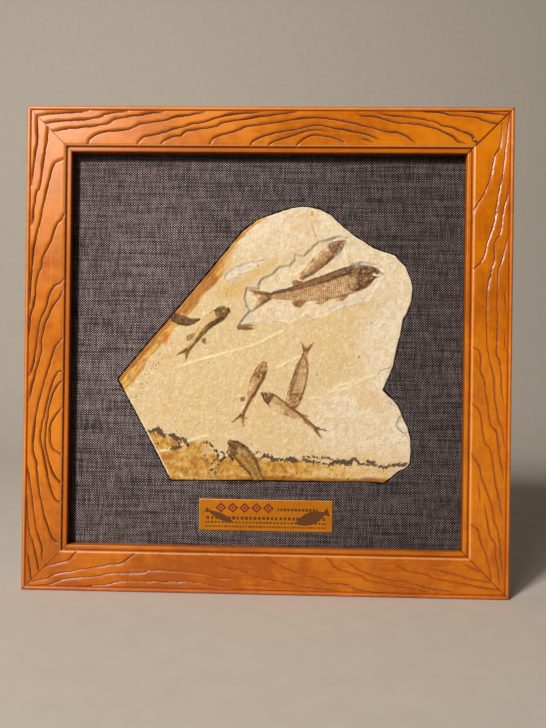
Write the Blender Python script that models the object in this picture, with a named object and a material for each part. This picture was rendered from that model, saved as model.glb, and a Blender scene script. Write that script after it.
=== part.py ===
"""Framed slab of fossil fish: mitred wooden frame, linen-covered mat, limestone slab and name plate.

Units are metres, +Z is up and the front looks along -Y. The origin is at the middle of the frame's
bottom edge. Outlines on the slab are written in millimetres as (x, z) pairs and scaled by MM.
"""
import math

import bmesh
import bpy
import numpy as np
from mathutils import Matrix, Vector
from mathutils.geometry import delaunay_2d_cdt

MM = 0.001

# ---- driving dimensions ----
FRAME_SIDE = 0.350          # outer width and height of the square frame
FRAME_DEPTH = 0.024         # front of the moulding to the back of the rails
RAIL_WIDTH = 0.0333         # seen width of each rail
LIP_DEPTH = 0.0065          # thickness of the lip that the linen shows behind
RABBET_WIDTH = 0.0060       # how far the rabbet runs under the lip
TOUCH_GAP = 0.0003          # gap left between parts that touch
RABBET_PLAY = 0.0004        # side play of the boards in the rabbet

BEAD_WIDTH = 0.0028         # bead along the opening
GROOVE_WIDTH = 0.0012       # groove between that bead and the field
GROOVE_DEPTH = 0.0013
SHOULDER = 0.0022           # rounded shoulder of the field beside the groove
QUIRK_WIDTH = 0.0009        # narrow groove near the outer edge
OUTER_BEAD = 0.0030         # rounded outer edge

LINEN_THICK = 0.0008
MAT_THICK = 0.0050
BACKING_THICK = 0.0045
LINEN_GAP = 1.1 * MM        # gap between the stone and the linen's window
MAT_GAP = 1.7 * MM          # gap between the stone and the board's window

SLAB_PROUD = 0.0010         # how far the stone's face stands in front of the linen
RIM_CHAMFER = 0.7 * MM      # broken edge round the stone's face
SIDE_RINGS = ((0.10, 1.0), (0.55, 1.4), (1.0, 0.6))   # shares of thickness and chamfer, down the side
FACE_CELL = 5.2             # spacing of the face's free points, millimetres
PIT_DEPTH = 0.9             # depth of the prepared pit, millimetres
PIT_WALL = 0.8              # width of the pit's sloping wall, millimetres
LEDGE_DEPTH = 0.45          # depth of the flaked ledges, millimetres
CREASE_HEIGHT = 0.35        # height of the raised creases, millimetres
CREASE_HALF = 1.1           # half width of a crease, millimetres

PLATE_WIDTH = 0.0962
PLATE_HEIGHT = 0.0226
PLATE_THICK = 0.0009
PLATE_CENTRE = (0.0013, 0.0556)
PLATE_CORNER = 0.0008

POINT_LENGTH = 0.0150
POINT_WIDTH = 0.0080
POINT_THICK = 0.0006
POINT_IN_RAIL = 0.0060
POINT_OFFSET = 0.085        # of each point from the middle of its rail

HANGER_LENGTH = 0.046
HANGER_HEIGHT = 0.009
HANGER_THICK = 0.0008
HANGER_RAISE = 0.0016
HANGER_TEETH = 11
TOOTH_DEPTH = 0.0011
HANGER_Z = 0.312
RIVET_SPACING = 0.038
RIVET_RADIUS = 0.0012
RIVET_HEAD = 0.0024
RIVET_HOLE = RIVET_RADIUS + TOUCH_GAP

# ---- worked-out places: depths behind the front of the frame become y ----
HALF_SIDE = FRAME_SIDE / 2
FRONT_Y = -FRAME_DEPTH / 2
CENTRE_Z = HALF_SIDE
OPENING_HALF = HALF_SIDE - RAIL_WIDTH
BOARD_HALF = OPENING_HALF + RABBET_WIDTH - RABBET_PLAY
LINEN_Y = FRONT_Y + LIP_DEPTH + TOUCH_GAP
MAT_Y = LINEN_Y + LINEN_THICK + TOUCH_GAP
BACKING_Y = MAT_Y + MAT_THICK + TOUCH_GAP
BACKING_REAR = BACKING_Y + BACKING_THICK
SLAB_FACE_Y = LINEN_Y - SLAB_PROUD
SLAB_BACK_Y = BACKING_Y - TOUCH_GAP
SLAB_THICK = SLAB_BACK_Y - SLAB_FACE_Y
POINT_Y = BACKING_REAR + TOUCH_GAP

# ---- outlines on the stone, (x, z) in millimetres ----
SLAB_OUTLINE = [
    (-107.3, 152.7), (-87.4, 176.9), (-65.6, 202.8), (-46.8, 225.3), (-30.9, 245.1), (-18.0, 260.8),
    (-7.2, 269.2), (5.2, 274.2), (17.8, 278.1), (28.9, 278.9), (37.8, 277.0), (44.8, 273.9),
    (51.0, 268.2), (61.0, 259.5), (71.5, 252.6), (80.4, 248.0), (92.4, 244.3), (99.4, 236.3),
    (102.8, 228.7), (105.0, 222.1), (104.4, 213.1), (101.1, 202.4), (98.7, 199.3), (96.3, 187.2),
    (91.6, 164.9), (84.5, 147.1), (91.4, 140.6), (96.0, 134.6), (102.7, 119.6), (104.8, 113.6),
    (104.9, 99.5), (104.5, 94.4), (102.0, 91.4), (96.5, 89.3), (91.0, 84.1), (86.1, 80.2),
    (76.0, 81.3), (32.1, 80.9), (-17.6, 80.8), (-68.0, 80.1), (-86.9, 116.2),
]
PIT_OUTLINE = [
    (84.1, 234.5), (79.8, 238.0), (69.0, 239.6), (59.4, 237.7), (54.6, 245.0), (58.0, 255.8),
    (53.0, 258.0), (41.5, 256.1), (34.5, 250.5), (28.2, 247.7), (25.0, 243.0), (18.6, 241.1),
    (9.3, 236.7), (3.0, 231.8), (-5.8, 228.6), (-14.4, 219.8), (-16.4, 209.7), (-12.7, 204.6),
    (-17.7, 197.3), (-19.1, 193.7), (-1.0, 195.4), (14.8, 196.3), (27.8, 199.3), (50.1, 201.7),
    (59.4, 204.0), (72.9, 211.6), (78.6, 220.0),
]
UPPER_LEDGE = [(-29.0, 230.0), (-21.5, 236.0), (-10.3, 241.0), (3.0, 239.5), (0.0, 236.0), (-9.5, 235.0),
               (-17.5, 229.5), (-26.5, 226.0)]
SIDE_CHIP = [(101.9, 130.5), (97.2, 125.8), (94.8, 121.0), (98.5, 117.2), (102.2, 114.2), (106.5, 114.0)]
CREASES = [
    [(-56.4, 163.6), (-36.0, 170.8), (-16.0, 177.8), (9.2, 188.3)],
    [(1.6, 161.4), (14.0, 165.6), (27.0, 174.5)],
    [(29.3, 139.4), (49.4, 145.5), (69.4, 155.1), (87.0, 161.4)],
    [(-73.0, 95.9), (-56.5, 102.5), (-40.5, 109.5)],
]

# Each fish: stations (x, z, half width) from snout to tail root, then the tail's two tips and its notch.
FISH = {
    "long_fish": {
        "stations": [(82.7, 231.2, 1.0), (76.3, 232.2, 5.0), (68.4, 229.3, 9.2), (59.8, 226.7, 10.4),
                     (51.2, 223.7, 10.1), (41.9, 221.5, 9.0), (31.1, 219.5, 7.2), (21.8, 218.4, 6.0),
                     (13.1, 216.8, 3.6), (5.9, 215.7, 2.4), (0.9, 214.5, 2.7)],
        "tail": [(-13.6, 219.0), (-6.3, 211.9), (-10.9, 203.6)], "crown": 1.0},
    "upper_fish": {
        "stations": [(55.0, 253.4, 2.2), (49.5, 250.4, 4.7), (43.1, 244.9, 5.0), (36.6, 239.1, 4.9),
                     (30.2, 232.9, 4.3), (25.2, 228.9, 2.6)],
        "tail": None, "crown": 0.8},
    "rim_fish": {
        "stations": [(-66.0, 198.6, 3.3), (-60.5, 195.8, 3.6), (-55.0, 195.0, 2.8), (-49.5, 197.4, 0.8)],
        "tail": None, "crown": 0.6},
    "rust_fish": {
        "stations": [(-28.6, 202.7, 2.5), (-34.4, 200.1, 5.0), (-40.9, 194.9, 5.0), (-45.9, 189.1, 4.0),
                     (-50.2, 182.9, 2.9), (-53.4, 178.1, 1.8), (-55.9, 175.2, 2.0)],
        "tail": [(-65.1, 171.1), (-57.7, 173.0), (-58.7, 166.8)], "crown": 0.6},
    "bone_piece": {
        "stations": [(-21.1, 191.9, 1.9), (-14.0, 191.6, 2.3), (-7.3, 191.3, 1.9)],
        "tail": None, "crown": 0.5},
    "left_fish": {
        "stations": [(0.2, 167.0, 1.8), (-1.4, 163.8, 4.6), (-3.9, 158.6, 5.0), (-6.3, 153.4, 5.0),
                     (-9.4, 145.4, 3.8), (-12.2, 138.1, 2.4), (-14.7, 132.7, 1.5), (-16.2, 129.8, 1.7)],
        "tail": [(-23.7, 123.0), (-17.1, 127.5), (-15.8, 120.1)], "crown": 0.6},
    "upright_fish": {
        "stations": [(18.2, 132.6, 2.0), (19.6, 138.6, 4.5), (22.0, 145.8, 5.1), (24.8, 155.3, 5.2),
                     (26.1, 163.2, 4.2), (27.1, 169.7, 1.9), (28.0, 173.7, 1.7)],
        "tail": [(25.4, 181.3), (29.2, 177.2), (34.2, 180.6)], "crown": 0.6},
    "crossing_fish": {
        "stations": [(-2.6, 144.2, 1.2), (2.6, 140.5, 4.4), (8.4, 136.3, 5.0), (15.0, 132.0, 4.7),
                     (21.5, 128.2, 3.6), (27.3, 125.4, 2.5), (32.0, 122.9, 1.6), (34.6, 121.1, 1.6)],
        "tail": [(44.5, 117.8), (36.6, 120.2), (41.2, 111.6)], "crown": 0.6},
    "edge_fish": {
        "stations": [(-26.2, 110.0, 2.2), (-22.8, 106.4, 5.2), (-18.0, 101.3, 6.1), (-13.2, 95.8, 6.1),
                     (-9.0, 89.8, 5.4), (-6.0, 84.5, 4.8)],
        "tail": None, "crown": 0.8},
}
ACROSS_BODY = (-1.0, -0.6, 0.0, 0.6, 1.0)   # share of the half width where a body's face points lie

# (base colour, roughness, metallic) of each material
FINISHES = {
    "lacquered_wood": ((0.57, 0.165, 0.019), 0.35, 0.0),
    "linen": ((0.09, 0.066, 0.060), 0.95, 0.0),
    "board": ((0.33, 0.19, 0.10), 0.85, 0.0),
    "limestone": ((0.80, 0.59, 0.33), 0.85, 0.0),
    "gold_plate": ((0.62, 0.36, 0.10), 0.35, 1.0),
    "zinc_steel": ((0.55, 0.55, 0.54), 0.40, 1.0),
}


def material(name):
    """The Principled material of one of the finishes, made once."""
    found = bpy.data.materials.get(name)
    if found:
        return found
    colour, roughness, metallic = FINISHES[name]
    made = bpy.data.materials.new(name)
    made.use_nodes = True
    shader = made.node_tree.nodes["Principled BSDF"]
    shader.inputs["Base Color"].default_value = (*colour, 1.0)
    shader.inputs["Roughness"].default_value = roughness
    shader.inputs["Metallic"].default_value = metallic
    made.diffuse_color = (*colour, 1.0)
    return made


def add_object(name, mesh_builder, finish, location=(0.0, 0.0, 0.0), turn=0.0):
    """Put a bmesh in the scene as a named object, turned about Y."""
    bmesh.ops.recalc_face_normals(mesh_builder, faces=mesh_builder.faces)
    mesh = bpy.data.meshes.new(name)
    mesh_builder.to_mesh(mesh)
    mesh_builder.free()
    made = bpy.data.objects.new(name, mesh)
    made.location = location
    made.rotation_euler = (0.0, turn, 0.0)
    mesh.materials.append(material(finish))
    bpy.context.scene.collection.objects.link(made)
    return made


def add_cutter(name, target, mesh_builder, location, turn=0.0):
    """Cut a shape out of an object; the cutter itself is hidden."""
    cutter = add_object(name, mesh_builder, "zinc_steel", location, turn)
    cutter.hide_render = True
    cutter.display_type = "WIRE"
    cut = target.modifiers.new(name, "BOOLEAN")
    cut.operation = "DIFFERENCE"
    cut.solver = "EXACT"
    cut.object = cutter


def box(width, depth, height):
    """A box centred on the origin."""
    made = bmesh.new()
    bmesh.ops.create_cube(made, size=1.0)
    bmesh.ops.scale(made, vec=(width, depth, height), verts=made.verts)
    return made


def prism(points, front_y, back_y):
    """A plate between two depths from a closed outline of (x, z) points in metres."""
    made = bmesh.new()
    front = [made.verts.new((x, front_y, z)) for x, z in points]
    made.faces.new(front)
    extruded = bmesh.ops.extrude_face_region(made, geom=made.faces[:])
    moved = [item for item in extruded["geom"] if isinstance(item, bmesh.types.BMVert)]
    bmesh.ops.translate(made, vec=(0.0, back_y - front_y, 0.0), verts=moved)
    return made


def arc(centre, radius, start, end, count):
    """Points on an arc, angles in degrees."""
    angles = [math.radians(start + (end - start) * step / count) for step in range(count + 1)]
    return [(centre[0] + radius * math.cos(a), centre[1] + radius * math.sin(a)) for a in angles]


# ---- frame ----

def rail_profile():
    """The moulding's section as (distance from the opening, depth behind the front) points."""
    groove_end = BEAD_WIDTH + GROOVE_WIDTH
    shoulder = [(groove_end + SHOULDER * (1.0 - math.cos(a)), GROOVE_DEPTH * (1.0 - math.sin(a)))
                for a in np.radians((0.0, 25.0, 50.0, 70.0, 90.0))]
    quirk_start = RAIL_WIDTH - OUTER_BEAD - QUIRK_WIDTH
    bead_start = RAIL_WIDTH - OUTER_BEAD
    falls = ((0.0, 0.0), (0.25, 0.0), (0.5, 0.0), (0.75, 0.0002), (0.93, 0.0008), (1.0, 0.0018))
    bead = [(bead_start + OUTER_BEAD * u, 0.0020 * (1.0 - math.sin(math.pi * (0.30 + 0.46 * u))) + fall)
            for u, fall in falls]
    return (
        [(0.0, LIP_DEPTH), (0.0, 0.0007), (0.0005, 0.0002), (BEAD_WIDTH - 0.0005, 0.0002),
         (BEAD_WIDTH, 0.0006), (BEAD_WIDTH + 0.0002, GROOVE_DEPTH)]
        + shoulder
        + [(quirk_start - 0.0005, 0.0), (quirk_start, 0.0004), (quirk_start + 0.0003, 0.0011),
           (bead_start - 0.0001, 0.0011)]
        + bead
        + [(RAIL_WIDTH, FRAME_DEPTH - 0.0006), (RAIL_WIDTH - 0.0006, FRAME_DEPTH),
           (RABBET_WIDTH, FRAME_DEPTH), (RABBET_WIDTH, LIP_DEPTH)]
    )


def rail_builder():
    """One rail along X above the opening's middle, its ends cut at 45 degrees."""
    made = bmesh.new()
    ends = []
    for side in (-1.0, 1.0):
        ring = []
        for across, depth in rail_profile():
            reach = OPENING_HALF + across - TOUCH_GAP / 2
            ring.append(made.verts.new((side * reach, FRONT_Y + depth, OPENING_HALF + across)))
        made.faces.new(ring)
        ends.append(ring)
    for index in range(len(ends[0])):
        after = (index + 1) % len(ends[0])
        made.faces.new((ends[0][index], ends[0][after], ends[1][after], ends[1][index]))
    return made


def glazing_point():
    """A flat steel point: square over the backing board, pointed where it is driven into the rail."""
    half = POINT_WIDTH / 2
    tail = POINT_LENGTH - POINT_IN_RAIL
    outline = [(-half, -tail), (half, -tail), (half, 0.35 * POINT_IN_RAIL), (0.2 * half, POINT_IN_RAIL),
               (-0.2 * half, POINT_IN_RAIL), (-half, 0.35 * POINT_IN_RAIL)]
    return prism(outline, 0.0, POINT_THICK)


def build_frame():
    """Four mitred rails, each with the slots of its two steel points, and the points themselves."""
    sides = {"rail_top": 0.0, "rail_right": 90.0, "rail_bottom": 180.0, "rail_left": 270.0}
    wall = OPENING_HALF + RABBET_WIDTH
    for name, degrees in sides.items():
        turn = math.radians(degrees)
        rail = add_object(name, rail_builder(), "lacquered_wood", (0.0, 0.0, CENTRE_Z), turn)
        spin = Matrix.Rotation(turn, 3, "Y")
        for count, offset in enumerate((-POINT_OFFSET, POINT_OFFSET), start=1):
            seat = spin @ Vector((offset, POINT_Y, wall)) + Vector((0.0, 0.0, CENTRE_Z))
            point_name = f"{name.replace('rail', 'point')}_{count}"
            add_object(point_name, glazing_point(), "zinc_steel", seat, turn)
            slot = box(POINT_WIDTH + 2 * TOUCH_GAP, POINT_THICK + 2 * TOUCH_GAP,
                       2 * (POINT_IN_RAIL + TOUCH_GAP))
            slot_seat = seat + Vector((0.0, POINT_THICK / 2, 0.0))
            add_cutter(f"{point_name}_slot", rail, slot, slot_seat, turn)


# ---- boards and linen ----

def offset_outline(points, distance):
    """A closed outline moved outwards by a distance, each corner along its own bisector."""
    ring = np.asarray(points, dtype=float)
    before = ring - np.roll(ring, 1, axis=0)
    after = np.roll(ring, -1, axis=0) - ring
    before /= np.linalg.norm(before, axis=1, keepdims=True)
    after /= np.linalg.norm(after, axis=1, keepdims=True)
    area = np.sum(ring[:, 0] * np.roll(ring[:, 1], -1) - np.roll(ring[:, 0], -1) * ring[:, 1])
    outward = 1.0 if area > 0 else -1.0
    bisector = np.stack((before[:, 1] + after[:, 1], -before[:, 0] - after[:, 0]), axis=1) * outward
    length = np.linalg.norm(bisector, axis=1, keepdims=True)
    stretch = np.minimum(2.0 / length, 1.6)
    return ring + bisector / length * distance * stretch


def square(half):
    """Corners of a square board about the frame's middle."""
    low, high = CENTRE_Z - half, CENTRE_Z + half
    return [(-half, low), (half, low), (half, high), (-half, high)]


def plate_with_windows(half, windows, front_y, back_y):
    """A square plate between two depths, open inside each of the closed outlines."""
    points, edges = [], []
    for outline in [square(half)] + list(windows):
        first = len(points)
        points += [Vector(p) for p in outline]
        edges += [(first + i, first + (i + 1) % len(outline)) for i in range(len(outline))]
    flat = delaunay_2d_cdt(points, edges, [], 1, 1e-6)
    spots = np.array([tuple(p) for p in flat[0]])
    middles = spots[np.array(flat[2])].mean(axis=1)
    solid = np.all([signed_distance(middles, window) > 0 for window in windows], axis=0)
    made = bmesh.new()
    verts = [made.verts.new((x, front_y, z)) for x, z in spots]
    for triangle, kept in zip(flat[2], solid):
        if kept:
            made.faces.new([verts[i] for i in triangle])
    extruded = bmesh.ops.extrude_face_region(made, geom=made.faces[:])
    moved = [item for item in extruded["geom"] if isinstance(item, bmesh.types.BMVert)]
    bmesh.ops.translate(made, vec=(0.0, back_y - front_y, 0.0), verts=moved)
    bmesh.ops.delete(made, geom=[v for v in made.verts if not v.link_faces], context="VERTS")
    return made


def slab_window(gap):
    """The stone's outline moved outwards by a gap, in metres."""
    return offset_outline(np.array(SLAB_OUTLINE) * MM, gap)


def rivet_places():
    """The two rivets of the hanger, as (x, z)."""
    return [(-RIVET_SPACING / 2, HANGER_Z), (RIVET_SPACING / 2, HANGER_Z)]


def drill(radius, length):
    """A round cutter along Y."""
    made = bmesh.new()
    bmesh.ops.create_cone(made, cap_ends=True, segments=20, radius1=radius, radius2=radius, depth=length)
    bmesh.ops.rotate(made, matrix=Matrix.Rotation(math.pi / 2, 3, "X"), verts=made.verts)
    return made


def build_boards():
    """The mat board, its linen and the backing board with the two rivets' holes."""
    linen = plate_with_windows(BOARD_HALF, [slab_window(LINEN_GAP)], LINEN_Y, LINEN_Y + LINEN_THICK)
    mat = plate_with_windows(BOARD_HALF, [slab_window(MAT_GAP)], MAT_Y, MAT_Y + MAT_THICK)
    holes = [arc(place, RIVET_HOLE, 0.0, 342.0, 19) for place in rivet_places()]
    add_object("linen_cover", linen, "linen")
    add_object("mat_board", mat, "board")
    add_object("backing_board", plate_with_windows(BOARD_HALF, holes, BACKING_Y, BACKING_REAR), "board")


# ---- hanger on the back ----

def hanger_builder():
    """A sawtooth hanger: a strip bridged away from the board, with teeth along its lower edge."""
    half = HANGER_LENGTH / 2
    ramp_start = half - 0.0100
    ramp_end = half - 0.0125
    sections = [(-half, 0.0, 0.0), (-ramp_start, 0.0, 0.0), (-ramp_end, HANGER_RAISE, 0.0)]
    pitch = 2 * ramp_end / (2 * HANGER_TEETH)
    for step in range(1, 2 * HANGER_TEETH):
        sections.append((-ramp_end + pitch * step, HANGER_RAISE, TOOTH_DEPTH * (step % 2)))
    sections += [(ramp_end, HANGER_RAISE, 0.0), (ramp_start, 0.0, 0.0), (half, 0.0, 0.0)]
    made = bmesh.new()
    rings = []
    for x, raised, notch in sections:
        near = BACKING_REAR + TOUCH_GAP + raised
        low = HANGER_Z - HANGER_HEIGHT / 2 + notch
        high = HANGER_Z + HANGER_HEIGHT / 2
        corners = ((near, low), (near + HANGER_THICK, low), (near + HANGER_THICK, high), (near, high))
        rings.append([made.verts.new((x, y, z)) for y, z in corners])
    for first, second in zip(rings, rings[1:]):
        for index in range(4):
            after = (index + 1) % 4
            made.faces.new((first[index], first[after], second[after], second[index]))
    made.faces.new(rings[0])
    made.faces.new(rings[-1])
    return made


def rivet_builder():
    """A rivet turned about Y: a shank in the board and a low domed head over the hanger."""
    seat = HANGER_THICK + 2 * TOUCH_GAP
    profile = [(0.0, -0.8 * BACKING_THICK), (RIVET_RADIUS, -0.8 * BACKING_THICK), (RIVET_RADIUS, seat),
               (RIVET_HEAD, seat), (RIVET_HEAD, seat + 0.0003), (0.7 * RIVET_HEAD, seat + 0.0008),
               (0.0, seat + 0.0010)]
    made = bmesh.new()
    verts = [made.verts.new((radius, y, 0.0)) for radius, y in profile]
    line = [made.edges.new(pair) for pair in zip(verts, verts[1:])]
    bmesh.ops.spin(made, geom=verts + line, cent=(0, 0, 0), axis=(0, 1, 0), angle=2 * math.pi, steps=20)
    bmesh.ops.remove_doubles(made, verts=made.verts, dist=1e-6)
    return made


def build_hanger():
    """The sawtooth strip and its two rivets."""
    strip = add_object("hanger_strip", hanger_builder(), "zinc_steel")
    for count, (x, z) in enumerate(rivet_places(), start=1):
        add_cutter(f"strip_hole_{count}", strip, drill(RIVET_HOLE, 4 * HANGER_RAISE), (x, BACKING_REAR, z))
        add_object(f"hanger_rivet_{count}", rivet_builder(), "zinc_steel", (x, BACKING_REAR, z))


# ---- name plate ----

def build_plate():
    """The thin gold plate on the linen, its corners slightly rounded."""
    half_width = PLATE_WIDTH / 2 - PLATE_CORNER
    half_height = PLATE_HEIGHT / 2 - PLATE_CORNER
    outline = []
    for sx, sz, start in ((1, 1, 0), (-1, 1, 90), (-1, -1, 180), (1, -1, 270)):
        centre = (PLATE_CENTRE[0] + sx * half_width, PLATE_CENTRE[1] + sz * half_height)
        outline += arc(centre, PLATE_CORNER, start, start + 90, 4)
    back_y = LINEN_Y - TOUCH_GAP
    add_object("name_plate", prism(outline, back_y - PLATE_THICK, back_y), "gold_plate")


# ---- fossil slab: its face is a height over (x, z), in millimetres ----

def segment_distance(points, starts, ends):
    """Distance of every point to every segment, and how far along the segment its foot lies."""
    along = ends - starts
    offset = points[:, None, :] - starts[None, :, :]
    share = np.clip((offset * along).sum(2) / np.maximum((along ** 2).sum(1), 1e-12), 0.0, 1.0)
    foot = starts + share[..., None] * along
    return np.linalg.norm(points[:, None, :] - foot, axis=2), share


def signed_distance(points, outline):
    """Distance to a closed outline, negative inside."""
    ring = np.asarray(outline, dtype=float)
    after = np.roll(ring, -1, axis=0)
    nearest = segment_distance(points, ring, after)[0].min(1)
    x, z = points[:, :1], points[:, 1:]
    rise = after[:, 1] - ring[:, 1]
    crosses = (ring[:, 1] > z) != (after[:, 1] > z)
    at_x = ring[:, 0] + (z - ring[:, 1]) / np.where(rise == 0, 1e-12, rise) * (after[:, 0] - ring[:, 0])
    inside = (crosses & (x < at_x)).sum(1) % 2 == 1
    return np.where(inside, -nearest, nearest)


def smooth_step(value, low, high):
    """0 below low, 1 above high and a smooth S between them."""
    share = np.clip((value - low) / (high - low), 0.0, 1.0)
    return share * share * (3.0 - 2.0 * share)


def body_height(points, fish):
    """A fish's body: an ellipse of its crown height across the half width, along its stations."""
    stations = np.array(fish["stations"])
    distance, share = segment_distance(points, stations[:-1, :2], stations[1:, :2])
    nearest = distance.argmin(1)
    rows = np.arange(len(points))
    part = share[rows, nearest]
    half = stations[nearest, 2] * (1.0 - part) + stations[nearest + 1, 2] * part
    across = np.clip(distance[rows, nearest] / half, 0.0, 1.0)
    fullness = 0.35 + 0.65 * half / stations[:, 2].max()
    return fish["crown"] * np.sqrt(1.0 - across ** 2) * fullness


def tail_outline(fish):
    """The forked tail as a closed outline from the body's last station."""
    stations = fish["stations"]
    root = np.array(stations[-1][:2])
    heading = root - np.array(stations[-2][:2])
    heading /= np.linalg.norm(heading)
    side = np.array((-heading[1], heading[0])) * stations[-1][2]
    first, notch, second = (np.array(p) for p in fish["tail"])
    if np.dot(first - root, side) < 0:
        side = -side
    return np.array([root + side, first, notch, second, root - side])


def face_height(points):
    """Height of the stone's face over its datum plane at (x, z) points, all in millimetres."""
    x, z = points[:, 0], points[:, 1]
    height = 0.12 * np.sin(0.061 * x + 0.4) * np.cos(0.047 * z) + 0.08 * np.sin(0.11 * x - 0.09 * z)
    height -= PIT_DEPTH * (1.0 - smooth_step(signed_distance(points, PIT_OUTLINE), -PIT_WALL, 0.0))
    height -= LEDGE_DEPTH * (1.0 - smooth_step(signed_distance(points, UPPER_LEDGE), -PIT_WALL, 0.0))
    height -= LEDGE_DEPTH * (1.0 - smooth_step(signed_distance(points, SIDE_CHIP), -PIT_WALL, 0.0))
    for crease in CREASES:
        line = np.array(crease)
        near = segment_distance(points, line[:-1], line[1:])[0].min(1)
        height += CREASE_HEIGHT * np.maximum(0.0, 1.0 - near / CREASE_HALF)
    bodies = np.zeros(len(points))
    for fish in FISH.values():
        bodies = np.maximum(bodies, body_height(points, fish))
        if fish["tail"]:
            depth = -signed_distance(points, tail_outline(fish))
            bodies = np.maximum(bodies, 0.4 * fish["crown"] * smooth_step(depth, 0.0, 0.8))
    return height + bodies


def body_points(fish):
    """Face points across a fish's body at each station, as rows from side to side."""
    stations = np.array(fish["stations"])
    heading = np.gradient(stations[:, :2], axis=0)
    heading /= np.linalg.norm(heading, axis=1, keepdims=True)
    side = np.stack((-heading[:, 1], heading[:, 0]), axis=1)
    across = np.array(ACROSS_BODY)[None, :, None] * stations[:, 2][:, None, None]
    return stations[:, None, :2] + side[:, None, :] * across


class FaceLayout:
    """Points and fixed edges of the stone's face, before it is triangulated."""

    def __init__(self, rim):
        self.rim = rim
        self.points = []
        self.edges = []

    def line(self, points, closed=False):
        """Add a run of points joined by edges, in millimetres."""
        first = len(self.points)
        self.points += [tuple(p) for p in points]
        last = len(self.points) - 1
        self.edges += [(i, i + 1) for i in range(first, last)]
        if closed:
            self.edges.append((last, first))

    def loose(self, points, spacing):
        """Add the points that lie inside the rim and clear of all points so far."""
        points = np.asarray(points, dtype=float)
        points = points[signed_distance(points, self.rim) < -spacing]
        taken = np.array(self.points)
        gaps = np.linalg.norm(points[:, None, :] - taken[None, :, :], axis=2).min(1)
        self.points += [tuple(p) for p in points[gaps > spacing]]


def lay_out_face(rim):
    """The face's points: rim, pit wall, ledges, creases and fish, with a loose triangular net between."""
    layout = FaceLayout(rim)
    layout.line(rim, closed=True)
    for outline in (PIT_OUTLINE, UPPER_LEDGE):
        layout.line(outline, closed=True)
        layout.line(offset_outline(outline, -PIT_WALL), closed=True)
    for crease in CREASES:
        line = np.array(crease)
        heading = np.gradient(line, axis=0)
        heading /= np.linalg.norm(heading, axis=1, keepdims=True)
        side = np.stack((-heading[:, 1], heading[:, 0]), axis=1) * CREASE_HALF
        for share in (-1.0, 0.0, 1.0):
            layout.line(line + side * share)
    for fish in FISH.values():
        rows = body_points(fish)
        inside = signed_distance(rows.reshape(-1, 2), rim).reshape(rows.shape[:2]) < -0.8
        rows = rows[inside.all(axis=1)]
        for column in range(rows.shape[1]):
            layout.line(rows[:, column])
        if fish["tail"]:
            layout.line(tail_outline(fish), closed=True)
            layout.loose(offset_outline(tail_outline(fish), -0.7), 0.3)
    chip = np.array(SIDE_CHIP)
    layout.loose(chip, 0.9)
    layout.loose(offset_outline(chip, -PIT_WALL), 0.9)
    across = np.arange(-110.0, 110.0, FACE_CELL)
    up = np.arange(80.0, 282.0, FACE_CELL * 0.866)
    net = [(x + FACE_CELL / 2 * (row % 2), z) for row, z in enumerate(up) for x in across]
    layout.loose(net, 2.6)
    return layout


def build_slab():
    """The stone: a face with its relief, a chamfered rim, broken sides and a flat back."""
    outline = np.array(SLAB_OUTLINE)
    rim = offset_outline(outline, -RIM_CHAMFER / MM)
    layout = lay_out_face(rim)
    flat = delaunay_2d_cdt([Vector(p) for p in layout.points], layout.edges, [], 1, 1e-4)
    spots = np.array([tuple(p) for p in flat[0]])
    heights = face_height(spots)
    made = bmesh.new()
    face_verts = [made.verts.new((x * MM, SLAB_FACE_Y - h * MM, z * MM))
                  for (x, z), h in zip(spots, heights)]
    for triangle in flat[2]:
        made.faces.new([face_verts[i] for i in triangle])
    upper = [face_verts[np.linalg.norm(spots - corner, axis=1).argmin()] for corner in rim]
    for depth, growth in SIDE_RINGS:
        ring = offset_outline(rim, growth * RIM_CHAMFER / MM) * MM
        lower = [made.verts.new((x, SLAB_FACE_Y + depth * SLAB_THICK, z)) for x, z in ring]
        for index in range(len(rim)):
            after = (index + 1) % len(rim)
            made.faces.new((upper[index], upper[after], lower[after], lower[index]))
        upper = lower
    made.faces.new(upper)
    bmesh.ops.delete(made, geom=[v for v in made.verts if not v.link_faces], context="VERTS")
    bmesh.ops.triangulate(made, faces=[face for face in made.faces if len(face.verts) > 4])
    slab = add_object("fossil_slab", made, "limestone")
    slab.data.shade_smooth()
    slab.data.set_sharp_from_angle(angle=math.radians(40))


def clear_scene():
    """Remove every object that the scene starts with."""
    for old in list(bpy.data.objects):
        bpy.data.objects.remove(old, do_unlink=True)


def main():
    """Build the framed fossil, part by part."""
    clear_scene()
    build_frame()
    build_boards()
    build_hanger()
    build_plate()
    build_slab()


main()
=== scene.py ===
"""Looks of the framed slab of fossil fish: carved frame, linen, stone, name plate, boards and steel.

Sizes are metres in the row frame, with +Z up and the front along -Y, unless a name ends in _mm. Tracks on
the rails are (along, across) in millimetres: along the rail from its middle, and outwards from the opening.
Marks on the stone are (x, z) in millimetres.
"""

import logging
import math
from dataclasses import dataclass, field
from enum import Enum

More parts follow.
